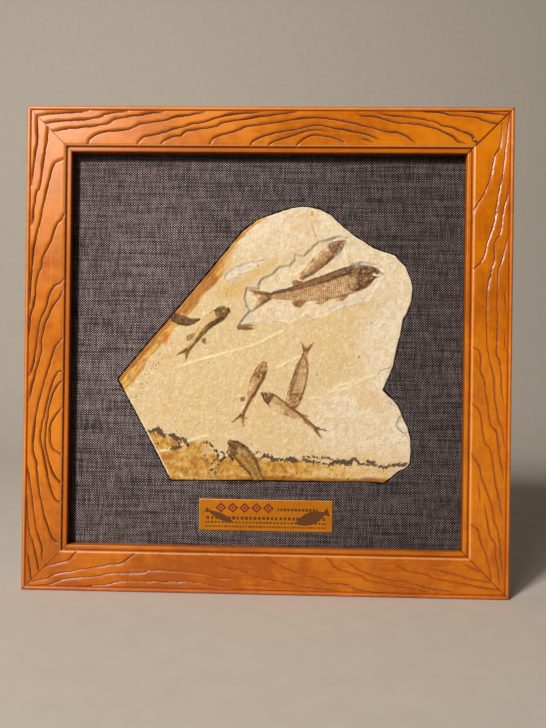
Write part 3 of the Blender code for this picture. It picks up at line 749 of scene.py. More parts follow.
@dataclass(frozen=True)
class FossilStone:
    """Cream limestone with its rust, ochre, manganese and brown fossil bone."""

    cream: Rgb = (234, 206, 162)
    butter: Rgb = (232, 200, 140)
    rose: Rgb = (255, 238, 212)
    chalk: Rgb = (248, 231, 202)
    vein: Rgb = (255, 242, 196)
    ash: Rgb = (200, 184, 158)
    grey: Rgb = (213, 200, 182)
    straw: Rgb = (228, 186, 112)
    ochre: Rgb = (214, 158, 54)
    ochre_deep: Rgb = (178, 114, 28)
    ochre_pale: Rgb = (232, 192, 124)
    earth: Rgb = (166, 98, 16)
    amber: Rgb = (200, 136, 48)
    flame: Rgb = (240, 192, 100)
    clay: Rgb = (190, 126, 60)
    rust: Rgb = (172, 104, 40)
    rust_deep: Rgb = (134, 76, 28)
    orange: Rgb = (214, 120, 20)
    manganese: Rgb = (74, 56, 45)
    blot: Rgb = (52, 32, 32)
    line: Rgb = (122, 96, 72)
    bone_pale: Rgb = (218, 176, 118)
    bone: Rgb = (168, 114, 62)
    bone_dark: Rgb = (64, 40, 20)
    olive_pale: Rgb = (222, 174, 96)
    olive: Rgb = (154, 108, 38)
    olive_dark: Rgb = (66, 40, 10)
    rib_pitch_mm: float = 1.5
    band_angle: float = 0.882

    def build(self, effects: Effects) -> Material:
        """Make the material from the values that the stone's surface carries.

        Args:
            effects: The shared node groups.

        Returns:
            The material.
        """
        made, g, shader = new_material("fossil_stone", self.cream)
        where = g.place()
        ragged = g.noise(where, 330.0, 4.0, 0.65)
        colour = self._stains(g, self._ground(g, effects, where), where, ragged)
        colour, bone, relief = self._bones(g, colour, where)
        colour = self._lines(g, colour, where, ragged)
        colour = g.blend(g.group(effects.dust, where, Amount=0.08), colour, self.chalk)
        grit = g.noise(where, 1000.0, 4.0, 0.7) * 0.34 + g.noise(where, 230.0, 5.0, 0.6) * 0.5
        g.fill(shader, {"Base Color": colour, "Roughness": 0.86 - bone * 0.3, "Specular IOR Level": 0.35,
                        "Normal": g.bump(grit + relief * 0.09, 0.0020, 0.9)})
        return made

    def _ground(self, g: Graph, effects: Effects, where: Signal) -> Signal:
        """The clean stone: cream to butter drift, hair lines, rose and chalk mottling, chalk in the pit.

        Args:
            g: The material's graph.
            effects: The shared node groups.
            where: Object coordinates.

        Returns:
            The colour.
        """
        rose, pale, straw = g.vector("zones")
        drift = g.group(effects.drift, where, Broad=30.0, Fine=330.0, Mix=0.45)
        grain = g.noise(where, 430.0, 5.0, 0.78)
        fleck = g.noise(where, 240.0, 4.0, 0.7)
        hair = g.grade(abs(g.noise(where, 55.0, 6.0, 0.55, 0.4) - 0.5), 0.0, 0.01, 1.0, 0.0)
        return g.layers(
            g.blend(drift, self.cream, self.butter),
            (g.grade(g.noise(where, 700.0, 4.0, 0.7), 0.5, 0.75, 0.0, 0.34), self.straw),
            (g.grade(g.noise(where, 1500.0, 2.0, 0.6), 0.5, 0.64, 0.0, 0.44), self.ash),
            (g.grade(grain, 0.5, 0.64, 0.0, 0.38), self.ochre_pale),
            (g.grade(grain, 0.5, 0.37, 0.0, 0.56), self.vein),
            (hair * g.grade(g.noise(where, 26.0, 1.0), 0.46, 0.62, 0.0, 0.16), self.line),
            (g.grade(g.noise(where, 120.0, 5.0, 0.72, 0.3), 0.5, 0.66, 0.0, 0.34), self.straw),
            (rose * g.grade(fleck, 0.4, 0.6, 0.25, 1.0), self.rose),
            (rose * g.grade(g.noise(where, 560.0, 3.0, 0.7), 0.48, 0.66, 0.0, 0.62), self.ash),
            (pale * g.grade(fleck, 0.45, 0.6, 0.2, 0.72), self.chalk),
            (straw * g.grade(g.noise(where, 110.0, 3.0, 0.6), 0.3, 0.6, 0.35, 0.95), self.straw))

    def _stains(self, g: Graph, colour: Signal, where: Signal, ragged: Signal) -> Signal:
        """Ochre below the dark line, and the amber and rust band along the upper left edge.

        Args:
            g: The material's graph.
            colour: The colour so far.
            where: Object coordinates.
            ragged: Noise that breaks the edges.

        Returns:
            The colour.
        """
        ochre, rust, amber = g.vector("stains")
        cloud = g.noise(where, 190.0, 5.0, 0.7, 0.25)
        turned = g.add("Mapping", {"Vector": where, "Rotation": (0.0, self.band_angle, 0.0)})
        stretched = g.add("Mapping", {"Vector": turned, "Scale": (90.0, 90.0, 420.0)})
        mixed = g.noise(stretched, 1.0, 4.0, 0.65, 0.5) * 0.65 + cloud * 0.35
        seep = ochre + (ragged - 0.5) * 0.5
        rightwards = g.grade(g.split(where)[0], -0.01, 0.1, -0.05, 0.18)
        earth = g.ramp(cloud + rightwards, (0.37, self.ochre_deep), (0.48, self.ochre),
                       (0.6, self.ochre_pale), (0.74, self.cream))
        band = g.ramp(mixed, (0.36, self.clay), (0.48, self.amber), (0.55, self.flame), (0.62, self.amber))
        deep = g.ramp(mixed, (0.36, self.rust_deep), (0.46, self.rust), (0.6, self.clay))
        blotch = g.add("Attribute", out="Fac", attribute_name="blotch") + (ragged - 0.5) * 0.6
        return g.layers(
            colour,
            (g.grade(seep, 0.3, 0.62, 0.0, 0.92), earth),
            (g.grade(seep, 1.05, 1.7, 0.0, 0.9), self.earth),
            (g.grade(amber + (mixed - 0.5) * 0.9, 0.15, 0.85, 0.0, 0.92), band),
            (g.grade(rust + (mixed - 0.5) * 0.8, 0.1, 1.0, 0.0, 0.95), deep),
            (g.grade(blotch, 0.2, 0.8, 0.0, 0.9), self.orange))

    def _bones(self, g: Graph, colour: Signal, where: Signal) -> tuple[Signal, Signal, Signal]:
        """Fish: a ragged silhouette, darker by the painted density, with fibres and ribs along the flank.

        The flank's third number is the strength of the ribs where it is above zero, and less the share of
        skull, drawn as a net of small plates, where it is below.

        Args:
            g: The material's graph.
            colour: The colour so far.
            where: Object coordinates.

        Returns:
            The colour, how much bone shows, and its fine relief.
        """
        gap, dark, olive = g.vector("fish")
        along, across, rib = g.vector("flank")
        crumb = g.noise(where, 1300.0, 3.0, 0.65)
        patch = g.noise(where, 420.0, 4.0, 0.75)
        fibre = g.noise(g.join(along * 0.22, across * 1.3), 1.0, 4.0, 0.65)
        mask = g.grade(gap + (patch - 0.5) * 2.6, -0.6, 0.5, 1.0, 0.0)
        wave = g.calc("SINE", (along + across * 0.18) * (2.0 * math.pi / self.rib_pitch_mm))
        ribs = wave * (g.calc("MAXIMUM", rib, 0.0) * 0.15)
        swirl = g.add("TexNoise", {"Vector": where, "Scale": 300.0}, 1)
        bent = g.add("Mix", {0: 0.006, 4: where, 5: swirl}, 1, data_type="VECTOR")
        plate = g.add("TexVoronoi", {"Vector": bent, "Scale": 400.0}, "Distance", feature="DISTANCE_TO_EDGE")
        skull = g.calc("MAXIMUM", rib * -1.0, 0.0) * g.grade(plate, 0.02, 0.3, 0.22, -0.12)
        mottle = (crumb - 0.5) * 0.55 + (patch - 0.5) * 1.0 + (fibre - 0.5) * 0.9
        density = dark + (ribs + skull + mottle * g.grade(dark, 0.0, 0.6, 0.4, 1.0))
        brown = g.ramp(density, (0.15, self.bone_pale), (0.5, self.bone), (0.95, self.bone_dark))
        green = g.ramp(density, (0.15, self.olive_pale), (0.5, self.olive), (0.95, self.olive_dark))
        shown = mask * g.grade(density, 0.02, 0.42, 0.0, 0.97)
        gleam = g.add("Attribute", out="Fac", attribute_name="gleam") * g.grade(crumb, 0.35, 0.6)
        colour = g.layers(colour, (shown, g.blend(olive, brown, green)), (gleam, self.butter))
        return colour, shown, (ribs * 2.0 + mottle) * mask

    def _lines(self, g: Graph, colour: Signal, where: Signal, ragged: Signal) -> Signal:
        """Manganese dendrites, hair cracks, pale creases with a painted highlight and painted shade, the
        pit's outline with its painted shadow, specks and the pale broken rim.

        Args:
            g: The material's graph.
            colour: The colour so far.
            where: Object coordinates.
            ragged: Noise that breaks the edges.

        Returns:
            The colour.
        """
        inked, crack, crease = g.vector("lines")
        rim, speckled, grey = g.vector("edges")
        wall, drawn, shade_and_powder = g.vector("pit")
        black, red, _ = g.vector("dots")
        rough = ragged - 0.5
        knob = g.add("TexVoronoi", {"Vector": where, "Scale": 760.0}, "Distance")
        seep = inked + (g.noise(where, 560.0, 4.0, 0.7) - 0.5) * 4.4 + (0.52 - knob) * 2.2
        # the pit's outline, with a painted shadow line along its upper edges
        stroke = g.grade(abs(wall + rough * 1.6), 0.12, 0.62, 0.95, 0.0) * drawn
        speck = g.add("TexVoronoi", {"Vector": where, "Scale": 640.0}, "Distance")
        chance = g.split(speck.other("Color"))[0] + speckled
        dot = g.grade(speck, 0.2, 0.4, 1.0, 0.0) * g.grade(chance, 0.98, 1.02)
        ink = g.blend(g.grade(knob, 0.15, 0.6), self.blot, self.manganese)
        return g.layers(
            colour,
            # creases: pale vein with a painted highlight on the crest, then painted shade on the steep side
            (g.grade(crease, 0.1, 0.8, 0.0, 0.85), self.vein),
            (g.grade(crease, -0.1, -0.45, 0.0, 0.5), self.ochre_pale),
            (grey * 0.9, g.blend(g.grade(ragged, 0.42, 0.6, 0.0, 0.8), self.chalk, self.grey)),
            (g.grade(crack + rough * 0.5, 0.3, 0.9, 0.0, 0.65), self.line),
            # painted grey shade under the pit's upper edges, with pale powder and smudges
            (shade_and_powder * g.grade(ragged, 0.36, 0.6, 0.15, 0.85), self.grey),
            (stroke * g.grade(g.noise(where, 210.0, 3.0, 0.6), 0.4, 0.56, 0.25, 1.0), self.line),
            (g.grade(seep, -0.1, 0.35, 0.0, 0.92), ink),
            (g.grade(red, 0.2, 0.7, 0.0, 0.85), self.rust_deep),
            (g.grade(black + rough * 0.9, -0.05, 0.3, 0.0, 0.9), self.blot),
            (dot * 0.85, self.bone_dark),
            (g.grade(rim, 0.15, 0.75, 0.85, 0.0), self.chalk))


@dataclass(frozen=True)
class PrintedBrass:
    """A thin gold-coloured plate with brown and dark red ink."""

    gold: Rgb = (228, 144, 8)
    deep: Rgb = (202, 116, 2)
    ink: Rgb = (74, 36, 10)
    red_ink: Rgb = (118, 12, 22)
    worn: Rgb = (246, 206, 128)

    def build(self, effects: Effects) -> Material:
        """Make the material; the ink's places are painted on the piece.

        Args:
            effects: The shared node groups.

        Returns:
            The material.
        """
        made, g, shader = new_material("printed_brass", self.gold)
        where = g.place()
        ink, red, edge = g.vector("print")
        brushed = g.group(effects.fibre, where, Across=2600.0, Along=60.0)
        drift = g.group(effects.drift, where, Broad=40.0, Fine=400.0, Mix=0.4)
        speckle = g.noise(where, 1400.0, 3.0, 0.6)
        printed = g.grade(ink + speckle * 0.3, 0.5, 0.85, 0.0, 0.9)
        crimson = g.grade(red + speckle * 0.25, 0.55, 0.85, 0.0, 0.95)
        worn = g.group(effects.wear, where, Edge=edge, Amount=0.8)
        colour = g.layers(
            g.blend(drift, self.gold, self.deep), (worn, self.worn),
            (printed, self.ink), (crimson, self.red_ink))
        bare = 1.0 - g.calc("MAXIMUM", printed, crimson)
        g.fill(shader, {"Base Color": colour, "Metallic": bare * 0.55, "Roughness": brushed * 0.14 + 0.34,
                        "Normal": g.bump(brushed, 0.00003, 0.5)})
        return made


@dataclass(frozen=True)
class Fibreboard:
    """Pressed brown board with fine flattened fibres and a dusty face."""

    light: Rgb = (186, 150, 112)
    middle: Rgb = (158, 120, 84)
    dark: Rgb = (120, 86, 56)

    def build(self, effects: Effects) -> Material:
        """Make the material on Object coordinates.

        Args:
            effects: The shared node groups.

        Returns:
            The material.
        """
        made, g, shader = new_material("fibreboard", self.middle)
        where = g.place()
        flock = g.noise(g.add("Mapping", {"Vector": where, "Scale": (1.0, 0.4, 1.0)}), 750.0, 5.0, 0.75, 1.2)
        drift = g.group(effects.drift, where, Broad=12.0, Fine=180.0, Mix=0.5)
        pore = g.group(effects.fibre, where, Across=1200.0, Along=160.0).other("Pore")
        colour = g.layers(
            g.ramp(flock * 0.65 + drift * 0.35, (0.25, self.dark), (0.5, self.middle), (0.75, self.light)),
            (pore * 0.5, self.dark), (g.group(effects.dust, where, Amount=0.25), self.light))
        g.fill(shader, {"Base Color": colour, "Roughness": 0.85, "Normal": g.bump(flock, 0.00015, 0.8)})
        return made


@dataclass(frozen=True)
class ZincSteel:
    """Zinc-plated steel: pale spangles, rolled scratches and a little grey tarnish."""

    bright: Rgb = (196, 198, 200)
    grey: Rgb = (146, 148, 150)
    tarnish: Rgb = (118, 110, 98)

    def build(self, effects: Effects) -> Material:
        """Make the material on Object coordinates.

        Args:
            effects: The shared node groups.

        Returns:
            The material.
        """
        made, g, shader = new_material("zinc_steel", self.grey)
        where = g.place()
        spangle = g.split(g.add("TexVoronoi", {"Vector": where, "Scale": 900.0}, "Color"))[0]
        drift = g.group(effects.drift, where, Broad=90.0, Fine=700.0, Mix=0.5)
        colour = g.blend(spangle, self.grey, self.bright)
        colour = g.blend(g.grade(drift, 0.55, 0.95, 0.0, 0.7), colour, self.tarnish)
        scratch = g.group(effects.fibre, where, Across=5000.0, Along=120.0)
        rough = spangle * 0.12 + 0.26 + g.group(effects.dust, where, Amount=0.2)
        g.fill(shader, {"Base Color": colour, "Metallic": 1.0, "Roughness": rough,
                        "Normal": g.bump(scratch, 0.00002, 0.5)})
        return made


# ---- carved frame ----

class Side(Enum):
    """A rail of the frame: its name, the way along it, and the way outwards from the opening."""

    TOP = ("rail_top", (1.0, 0.0), (0.0, 1.0))
    RIGHT = ("rail_right", (0.0, 1.0), (1.0, 0.0))
    BOTTOM = ("rail_bottom", (1.0, 0.0), (0.0, -1.0))
    LEFT = ("rail_left", (0.0, 1.0), (-1.0, 0.0))


GRAIN_MM: dict[Side, list[Track]] = {
    Side.TOP: [
        [(-168, 24.8), (-156, 26.6), (-139, 27.9), (-129, 29.3)],
        [(-163, 19.3), (-153, 21.1), (-139, 22.0), (-121, 24.3), (-117, 26.7), (-101, 28.7)],
        [(-157, 13.9), (-146, 15.7), (-129, 17.5), (-115, 20.1), (-110, 23.2), (-95, 25.7), (-75, 28.4)],
        [(-130, 4.4), (-128, 8.7), (-123, 12.2), (-116, 14.2), (-101, 15.5), (-91, 19.8), (-75, 21.8),
         (-68, 24.2), (-57, 25.8), (-45, 28.3)],
        [(-94, 4.6), (-91, 8.9), (-87, 10.9), (-73, 14.0), (-69, 16.0), (-63, 17.2), (-56, 19.5),
         (-48, 20.7), (-33, 25.4), (-23, 27.0), (-5, 28.2)],
        [(-77, 4.3), (-74, 8.2), (-68, 10.7), (-62, 11.8), (-59, 14.4), (-42, 17.2), (-36, 18.5),
         (-32, 20.8), (-14, 23.6), (2, 26.3), (21, 28.7)],
        [(-42, 4.4), (-40, 8.7), (-36, 11.1), (-22, 15.4), (-15, 18.1), (3, 20.6), (31, 24.4), (50, 22.6),
         (68, 18.8), (84, 14.7), (92, 14.1), (98, 11.4), (104, 6.8)],
        [(-13, 3.0), (-11, 7.3), (-6, 10.0), (0, 12.4), (17, 15.5), (33, 18.9), (48, 16.8), (69, 12.5),
         (79, 9.2)],
        [(0, 3.9), (3, 7.0), (16, 11.3), (28, 15.2), (36, 15.6), (43, 14.6)],
        [(20, 3.5), (22, 6.7), (26, 9.8), (30, 11.9), (37, 12.0), (49, 9.1), (54, 6.4)],
        [(64, 10.0), (69, 9.1), (74, 7.1)],
        [(62, 27.6), (67, 25.9), (74, 25.5), (83, 23.1), (94, 20.5), (104, 20.1), (118, 17.3), (124, 14.4),
         (131, 11.1), (134, 8.1), (139, 6.5)],
        [(77, 28.4), (86, 26.0), (98, 25.2), (118, 21.9), (123, 19.0), (131, 17.3), (144, 11.9),
         (145, 9.0), (149, 6.6)],
        [(108, 29.4), (123, 28.0), (128, 26.6), (147, 24.9), (153, 22.5), (163, 20.6)],
        [(136, 29.5), (149, 28.9), (169, 26.6)],
    ],
    Side.BOTTOM: [
        [(-160, 18.1), (-157, 15.6), (-145, 12.7), (-140, 11.1), (-137, 7.5), (-132, 1.5)],
        [(-169, 27.4), (-156, 24.6), (-152, 22.1), (-146, 20.1), (-127, 17.0), (-110, 13.5), (-102, 12.6),
         (-99, 10.6), (-92, 5.0)],
        [(-164, 29.8), (-153, 28.4), (-147, 26.0), (-141, 24.3), (-122, 22.3), (-108, 19.7), (-86, 18.8),
         (-82, 17.2), (-63, 17.2), (-44, 19.1), (-32, 21.5), (-22, 22.1)],
        [(-136, 30.4), (-120, 28.5), (-111, 27.9), (-105, 25.8), (-86, 25.1), (-50, 24.9), (-32, 27.8),
         (-19, 29.1)],
        [(-40, 3.9), (-37, 7.7), (-33, 11.9), (-28, 14.1), (-13, 16.9), (-5, 20.3), (13, 23.3), (30, 26.9),
         (55, 29.0)],
        [(-1, 3.6), (4, 6.9), (9, 10.3), (25, 16.9), (41, 21.2), (47, 23.8), (61, 24.5), (70, 28.1),
         (87, 30.2)],
        [(45, 4.9), (49, 8.3), (52, 12.1), (60, 15.3), (71, 18.4), (76, 21.2), (98, 25.4), (115, 27.9),
         (120, 29.9)],
        [(57, 7.0), (63, 9.8), (68, 13.0), (76, 16.6), (93, 20.9), (102, 21.6), (120, 26.2), (132, 27.1),
         (138, 30.0)],
        [(91, 7.1), (96, 10.4), (103, 13.6), (117, 16.2), (123, 19.0), (145, 22.3), (153, 24.2),
         (168, 25.7)],
        [(119, 11.6), (135, 15.4), (151, 19.2), (162, 20.4)],
        [(141, 6.9), (148, 10.5), (155, 13.2)],
        [(-13, 25.4), (-4, 26.4), (2, 27.0)],
    ],
    Side.LEFT: [
        [(168, 25.2), (150, 24.6), (142, 25.6), (129, 27.2), (116, 28.9)],
        [(160, 17.0), (148, 18.1), (133, 20.2), (115, 22.6), (111, 25.3), (94, 27.1), (88, 27.8)],
        [(136, 4.6), (134, 9.1), (131, 12.8), (119, 16.0), (104, 19.5), (91, 22.2), (75, 25.7), (56, 27.7),
         (30, 28.8)],
        [(97, 4.3), (92, 6.3), (88, 10.0), (76, 14.3), (70, 17.3), (64, 19.8), (58, 20.3), (53, 22.5),
         (46, 24.1), (29, 25.8), (25, 27.6), (8, 29.3)],
        [(50, 3.5), (46, 7.2), (44, 11.2), (38, 14.5), (28, 16.9), (19, 21.0), (2, 23.6), (-14, 25.8),
         (-21, 28.5)],
        [(41, 4.9), (35, 7.8), (30, 11.8), (18, 16.8), (6, 19.8), (-3, 20.0), (-19, 24.1), (-39, 28.6)],
        [(7, 4.1), (3, 8.1), (-1, 10.6), (-16, 14.8), (-29, 18.7), (-50, 23.2), (-72, 24.7), (-83, 22.4),
         (-103, 20.1), (-123, 15.2), (-136, 10.4), (-140, 6.2)],
        [(-17, 4.1), (-18, 7.8), (-27, 12.1), (-41, 15.6), (-63, 19.3), (-79, 16.6), (-99, 12.3),
         (-109, 8.0), (-111, 3.4)],
        [(-24, 4.0), (-27, 7.7), (-38, 12.7), (-54, 15.1), (-72, 15.5), (-88, 11.1), (-98, 4.0)],
        [(-43, 3.4), (-48, 8.4), (-55, 12.0), (-62, 12.8), (-72, 10.8), (-77, 3.6)],
        [(-167, 24.8), (-157, 26.1), (-145, 28.3)],
        [(-161, 19.2), (-142, 23.5), (-131, 27.2), (-106, 28.6)],
        [(-155, 17.3), (-143, 17.7), (-129, 22.1), (-107, 25.2), (-85, 28.9)],
    ],
    Side.RIGHT: [
        [(169, 29.0), (150, 26.9), (128, 24.9), (115, 22.2), (94, 19.0), (79, 14.9), (66, 11.1), (59, 4.8)],
        [(163, 23.8), (147, 22.8), (140, 19.0), (126, 16.5), (114, 12.0), (103, 5.6), (99, 3.6)],
        [(121, 28.7), (111, 28.0), (102, 25.4), (86, 23.8), (79, 19.9), (66, 19.5), (59, 17.3), (38, 14.5),
         (15, 14.6), (-1, 16.2), (-18, 19.7), (-33, 21.1), (-48, 24.0), (-53, 26.3), (-67, 28.7)],
        [(85, 28.8), (66, 25.1), (58, 22.5), (40, 21.8), (22, 22.4), (1, 21.7), (-8, 24.4), (-28, 25.9),
         (-35, 27.4)],
        [(4, 4.0), (0, 10.1), (-13, 11.0), (-20, 13.3), (-36, 16.0), (-51, 18.6), (-56, 22.5), (-68, 24.0),
         (-89, 27.9)],
        [(-36, 3.7), (-39, 8.7), (-45, 11.4), (-63, 14.1), (-69, 18.4), (-91, 22.0), (-117, 27.5)],
        [(-71, 4.4), (-79, 10.0), (-88, 12.4), (-107, 19.3), (-120, 21.7), (-129, 25.0), (-161, 28.5)],
        [(-93, 10.2), (-105, 11.7)],
        [(-107, 14.7), (-129, 18.7), (-134, 21.9), (-145, 23.4), (-165, 26.4)],
        [(-122, 5.0), (-125, 9.7), (-133, 12.1), (-150, 18.3), (-161, 19.6)],
        [(45, 27.9), (41, 27.2), (28, 28.3)],
        [(14, 27.9), (6, 27.6), (1, 28.8)],
    ],
}


@dataclass
class CarvedFrame:
    """The frame: four mitred rails of one moulding, with grain carved by hand into the flat field."""

    side: float
    rail: float
    depth: float
    front: float
    lip: float = 0.0065
    rabbet: float = 0.0060
    gap: float = 0.0003
    bead: float = 0.0028
    groove: float = 0.0012
    groove_depth: float = 0.0019
    shoulder: float = 0.0020
    outer_bead: float = 0.0030
    quirk: float = 0.0009
    rows: int = 601
    field_step_mm: float = 0.29
    cut_depth_mm: float = 1.05
    steep_mm: float = 0.55
    slope_mm: float = 2.5
    slope_power: float = 2.1
    field_floor: float = 0.0014
    face_floor: float = 0.003

    def moulding(self) -> Array:
        """The moulding's section: beads as flat arches, the groove and quirk as round hollows.

        Returns:
            Rows of distance from the opening, depth behind the front, hollow value and edge value. The hollow
            value is dark glazing and also painted shade: it darkens the groove, the foot of the shoulder and
            the lip's inner wall.
        """
        groove_end = self.bead + self.groove
        field_start = groove_end + self.shoulder
        bead_start = self.rail - self.outer_bead
        quirk_start = bead_start - self.quirk
        t = np.linspace(0.0, 1.0, 9)
        arch = 0.0002 + 0.00045 * np.abs(2 * t - 1) ** 7
        inner = joined(self.bead * t, arch, 0 * t + 0.11, 0.5 * np.abs(2 * t - 1) ** 3)
        t = np.linspace(0.12, 0.95, 6)
        dip = self.groove_depth - 0.0003 * (2 * t - 1) ** 4
        hollow = joined(self.bead + self.groove * t, dip, 0 * t + 0.45, 0 * t)
        a = np.linspace(0.0, math.pi / 2, 8)
        # painted shade: the foot of the shoulder, where it falls into the groove, takes a hollow value of up
        # to 0.35
        turn = joined(groove_end + self.shoulder * (1 - np.cos(a)), self.groove_depth * (1 - np.sin(a)),
                      0.35 * np.cos(a) ** 6, ridge(a, 0.9, 0.5))
        across = np.arange(field_start, quirk_start - 0.0004, self.field_step_mm * MM)[1:]
        flat = joined(across, 0 * across, 0 * across, 0 * across)
        t = np.linspace(0.0, 1.0, 7)
        dip = 0.0011 * np.sin(math.pi * np.clip(t, 0, 0.9)) ** 0.6
        reach = quirk_start - 0.0002 + (self.quirk + 0.0002) * t
        narrow = joined(reach, dip, 0.45 * np.sin(math.pi * t), 0 * t)
        t = np.linspace(0.08, 1.0, 10)
        fall = 0.0002 + 0.0020 * np.clip((t - 0.45) / 0.55, 0, 1) ** 2.4
        fall += 0.0009 * (1 - np.clip(t / 0.3, 0, 1)) ** 2
        outer = joined(bead_start + self.outer_bead * t, fall, 0 * t, 0.6 * ridge(t, 0.45, 0.35))
        back = self.depth - 0.0006
        # painted shade: the lip's inner wall takes hollow values of 0.35 to 0.6
        rear = np.array([
            (self.rail, 0.35 * back, 0, 0), (self.rail, 0.7 * back, 0, 0), (self.rail, back, 0, 0),
            (self.rail - 0.0006, self.depth, 0, 0), (0.55 * self.rail, self.depth, 0, 0),
            (self.rabbet, self.depth, 0, 0), (self.rabbet, self.lip, 0, 0), (0.0003, self.lip, 0.6, 0),
            (0.0, self.lip - 0.0003, 0.6, 0), (0.0, 0.5 * self.lip, 0.5, 0), (0.0, 0.0012, 0.35, 0)])
        return np.vstack([inner, hollow, turn, flat, narrow, outer, rear])

    def carving(self, side: Side, along: Array, across: Array) -> tuple[Array, Array]:
        """Depth of the carved grain, in millimetres, and a painted highlight along the crest beside each
        cut's steep wall, at places on a rail.

        A cut has a steep wall towards the opening and a long hollow slope away from it, wanders a little
        off its track, and runs out at its outer end.

        Args:
            side: The rail.
            along: Places along the rail, in millimetres.
            across: Places outwards from the opening, in millimetres.

        Returns:
            The depth and the painted crest highlight at each place.
        """
        depth, lip_highlight = np.zeros(along.shape), np.zeros(along.shape)
        wobble = 0.46 * rough_noise(along, across * 1.5, 5.5, 11 + len(side.name), 4)
        wobble += 0.11 * value_noise(along, across, 1.7, 19)
        for number, knots in enumerate(GRAIN_MM[side]):
            track = curve(knots, 1.6)
            low, high = track.min(axis=0) - 3.0, track.max(axis=0) + 3.0
            near = (along > low[0]) & (along < high[0]) & (across > low[1]) & (across < high[1])
            s, t = along[near], across[near] + wobble[near]
            distance, reach, hand = to_track(s, t, track)
            total = np.hypot(*np.diff(track, axis=0).T).sum()
            outward = hand * distance * (1.0 if track[-1, 0] > track[0, 0] else -1.0)
            ends = [1.0 if knots[end][1] < 6.5 or abs(knots[end][0]) > knots[end][1] + 139.0 else 9.0
                    for end in (0, -1)]
            fade = np.minimum(ease(reach, -0.5 * ends[0], ends[0]),
                              ease(total - reach, -0.5 * ends[1], ends[1]))
            breadth = self.slope_mm * (1.0 + 0.35 * value_noise(reach, reach * 0 + number, 9.0, 5))
            slope = np.clip(1.0 - outward / breadth, 0.0, 1.0) ** self.slope_power
            wall = ease(outward, -self.steep_mm, 0.0)
            cut = np.where(outward > 0, slope, wall) * fade
            cut *= self.cut_depth_mm * (0.85 + 0.3 * value_noise(reach, reach * 0 + number, 14.0, 9))
            depth[near] = np.maximum(depth[near], cut)
            # painted highlight along the crest beside the cut's steep wall
            lip_highlight[near] = np.maximum(lip_highlight[near], fade * ridge(outward, -self.steep_mm - 0.05, 0.30))
        return depth, lip_highlight

    def build_rail(self, side: Side, wood: Material) -> Piece:
        """Carry the moulding along one rail, between two mitres, and carve it.

        Args:
            side: The rail.
            wood: Its finish.

        Returns:
            The rail.
        """
        name, way, outwards = side.value
        ring = self.moulding()
        across, base, hollow, edge = ring.T
        opening = self.side / 2 - self.rail
        share = np.linspace(-1.0, 1.0, self.rows)[:, None]
        along = share * (opening + across - self.gap / 2)
        # painted shade: the hollow value is cut to a quarter on the right and bottom rails, which face the
        # light, so the groove and lip stay dark on the top and left rails
        hollow = hollow * (0.25 if side in (Side.RIGHT, Side.BOTTOM) else 1.0)
        across_mm = np.broadcast_to(across / MM, along.shape)
        carved, lip_highlight = self.carving(side, along / MM, across_mm)
        seen = ease(across, self.bead + self.groove, self.bead + self.groove + 0.0006)
        seen *= ease(across, self.rail - self.outer_bead, self.rail - self.outer_bead - self.quirk)
        seen *= base < self.field_floor
        carved *= seen
        swell = 0.1 * value_noise(along / MM, across_mm * 2.5, 26.0, 31) * seen
        depth = base + (carved + swell) * MM
        out = opening + across + 0 * share
        points = joined(along * way[0] + out * outwards[0], self.front + depth,
                        self.side / 2 + along * way[1] + out * outwards[1])
        columns = len(ring)
        reach = lengths_along(ring)
        # painted shade: the carved strokes keep half their dark glazing on the right and bottom rails, which
        # face the light, 0.85 of it on the left rail and all of it on the top rail
        toward_light = side in (Side.RIGHT, Side.BOTTOM)
        kept = 0.5 if toward_light else (0.85 if side is Side.LEFT else 1.0)
        glaze_and_shade = np.maximum(kept * carved / self.cut_depth_mm, hollow + 0 * share)
        to_mitre = (opening + across) * (1.0 - np.abs(share)) / MM
        open_joint = (share > 0) * (side in (Side.TOP, Side.RIGHT)) * (across < self.rail - self.outer_bead)
        glaze_and_shade = np.maximum(glaze_and_shade, (0.42 + 0.2 * open_joint) * ridge(to_mitre, 0.0, 0.35 + 0.25 * open_joint))
        # painted highlight: on the top and left rails the crest beside each stroke's steep wall takes the
        # pale worn colour; on the right and bottom rails, which face the light, the whole cut does, with a
        # fainter crest
        rubbed = np.where(toward_light, np.maximum(0.4 * lip_highlight, 0.8 * carved / self.cut_depth_mm), lip_highlight)
        worn_edge_and_highlight = np.maximum(edge + 0 * share, rubbed * seen)
        quirk = ridge(across, self.rail - self.outer_bead - 0.0002, 0.0006) * (base < self.face_floor)
        rounding = ease(across, self.rail - 0.0016, self.rail - 0.0010) * ease(base, 0.0060, 0.0030)
        red = np.maximum(quirk, rounding) + 0 * share
        # painted highlight: a pale band on the outer bead's crest, full on the top and left rails and about a
        # third as strong on the right and bottom rails
        lit = 0.35 if toward_light else 1.0
        red -= lit * ridge(across, self.rail - 0.0022, 0.0006) * (base < self.face_floor)
        surface = Surface(points.reshape(-1, 3), grid_quads(self.rows, columns, closed=True),
                          caps=[list(range(columns)),
                                list(range((self.rows - 1) * columns, self.rows * columns))[::-1]],
                          values={"moulding": joined(glaze_and_shade, worn_edge_and_highlight, red).reshape(-1, 3)},
                          flat_map=joined(along, reach + 0 * share + opening).reshape(-1, 2))
        surface.face_outwards()
        return place(surface.to_object(f"carved_{name}", wood, 50.0), "frame_wood", name)

    def build(self, wood: Material) -> list[Piece]:
        """Make all four rails."""
        return [self.build_rail(side, wood) for side in Side]


# ---- linen ----

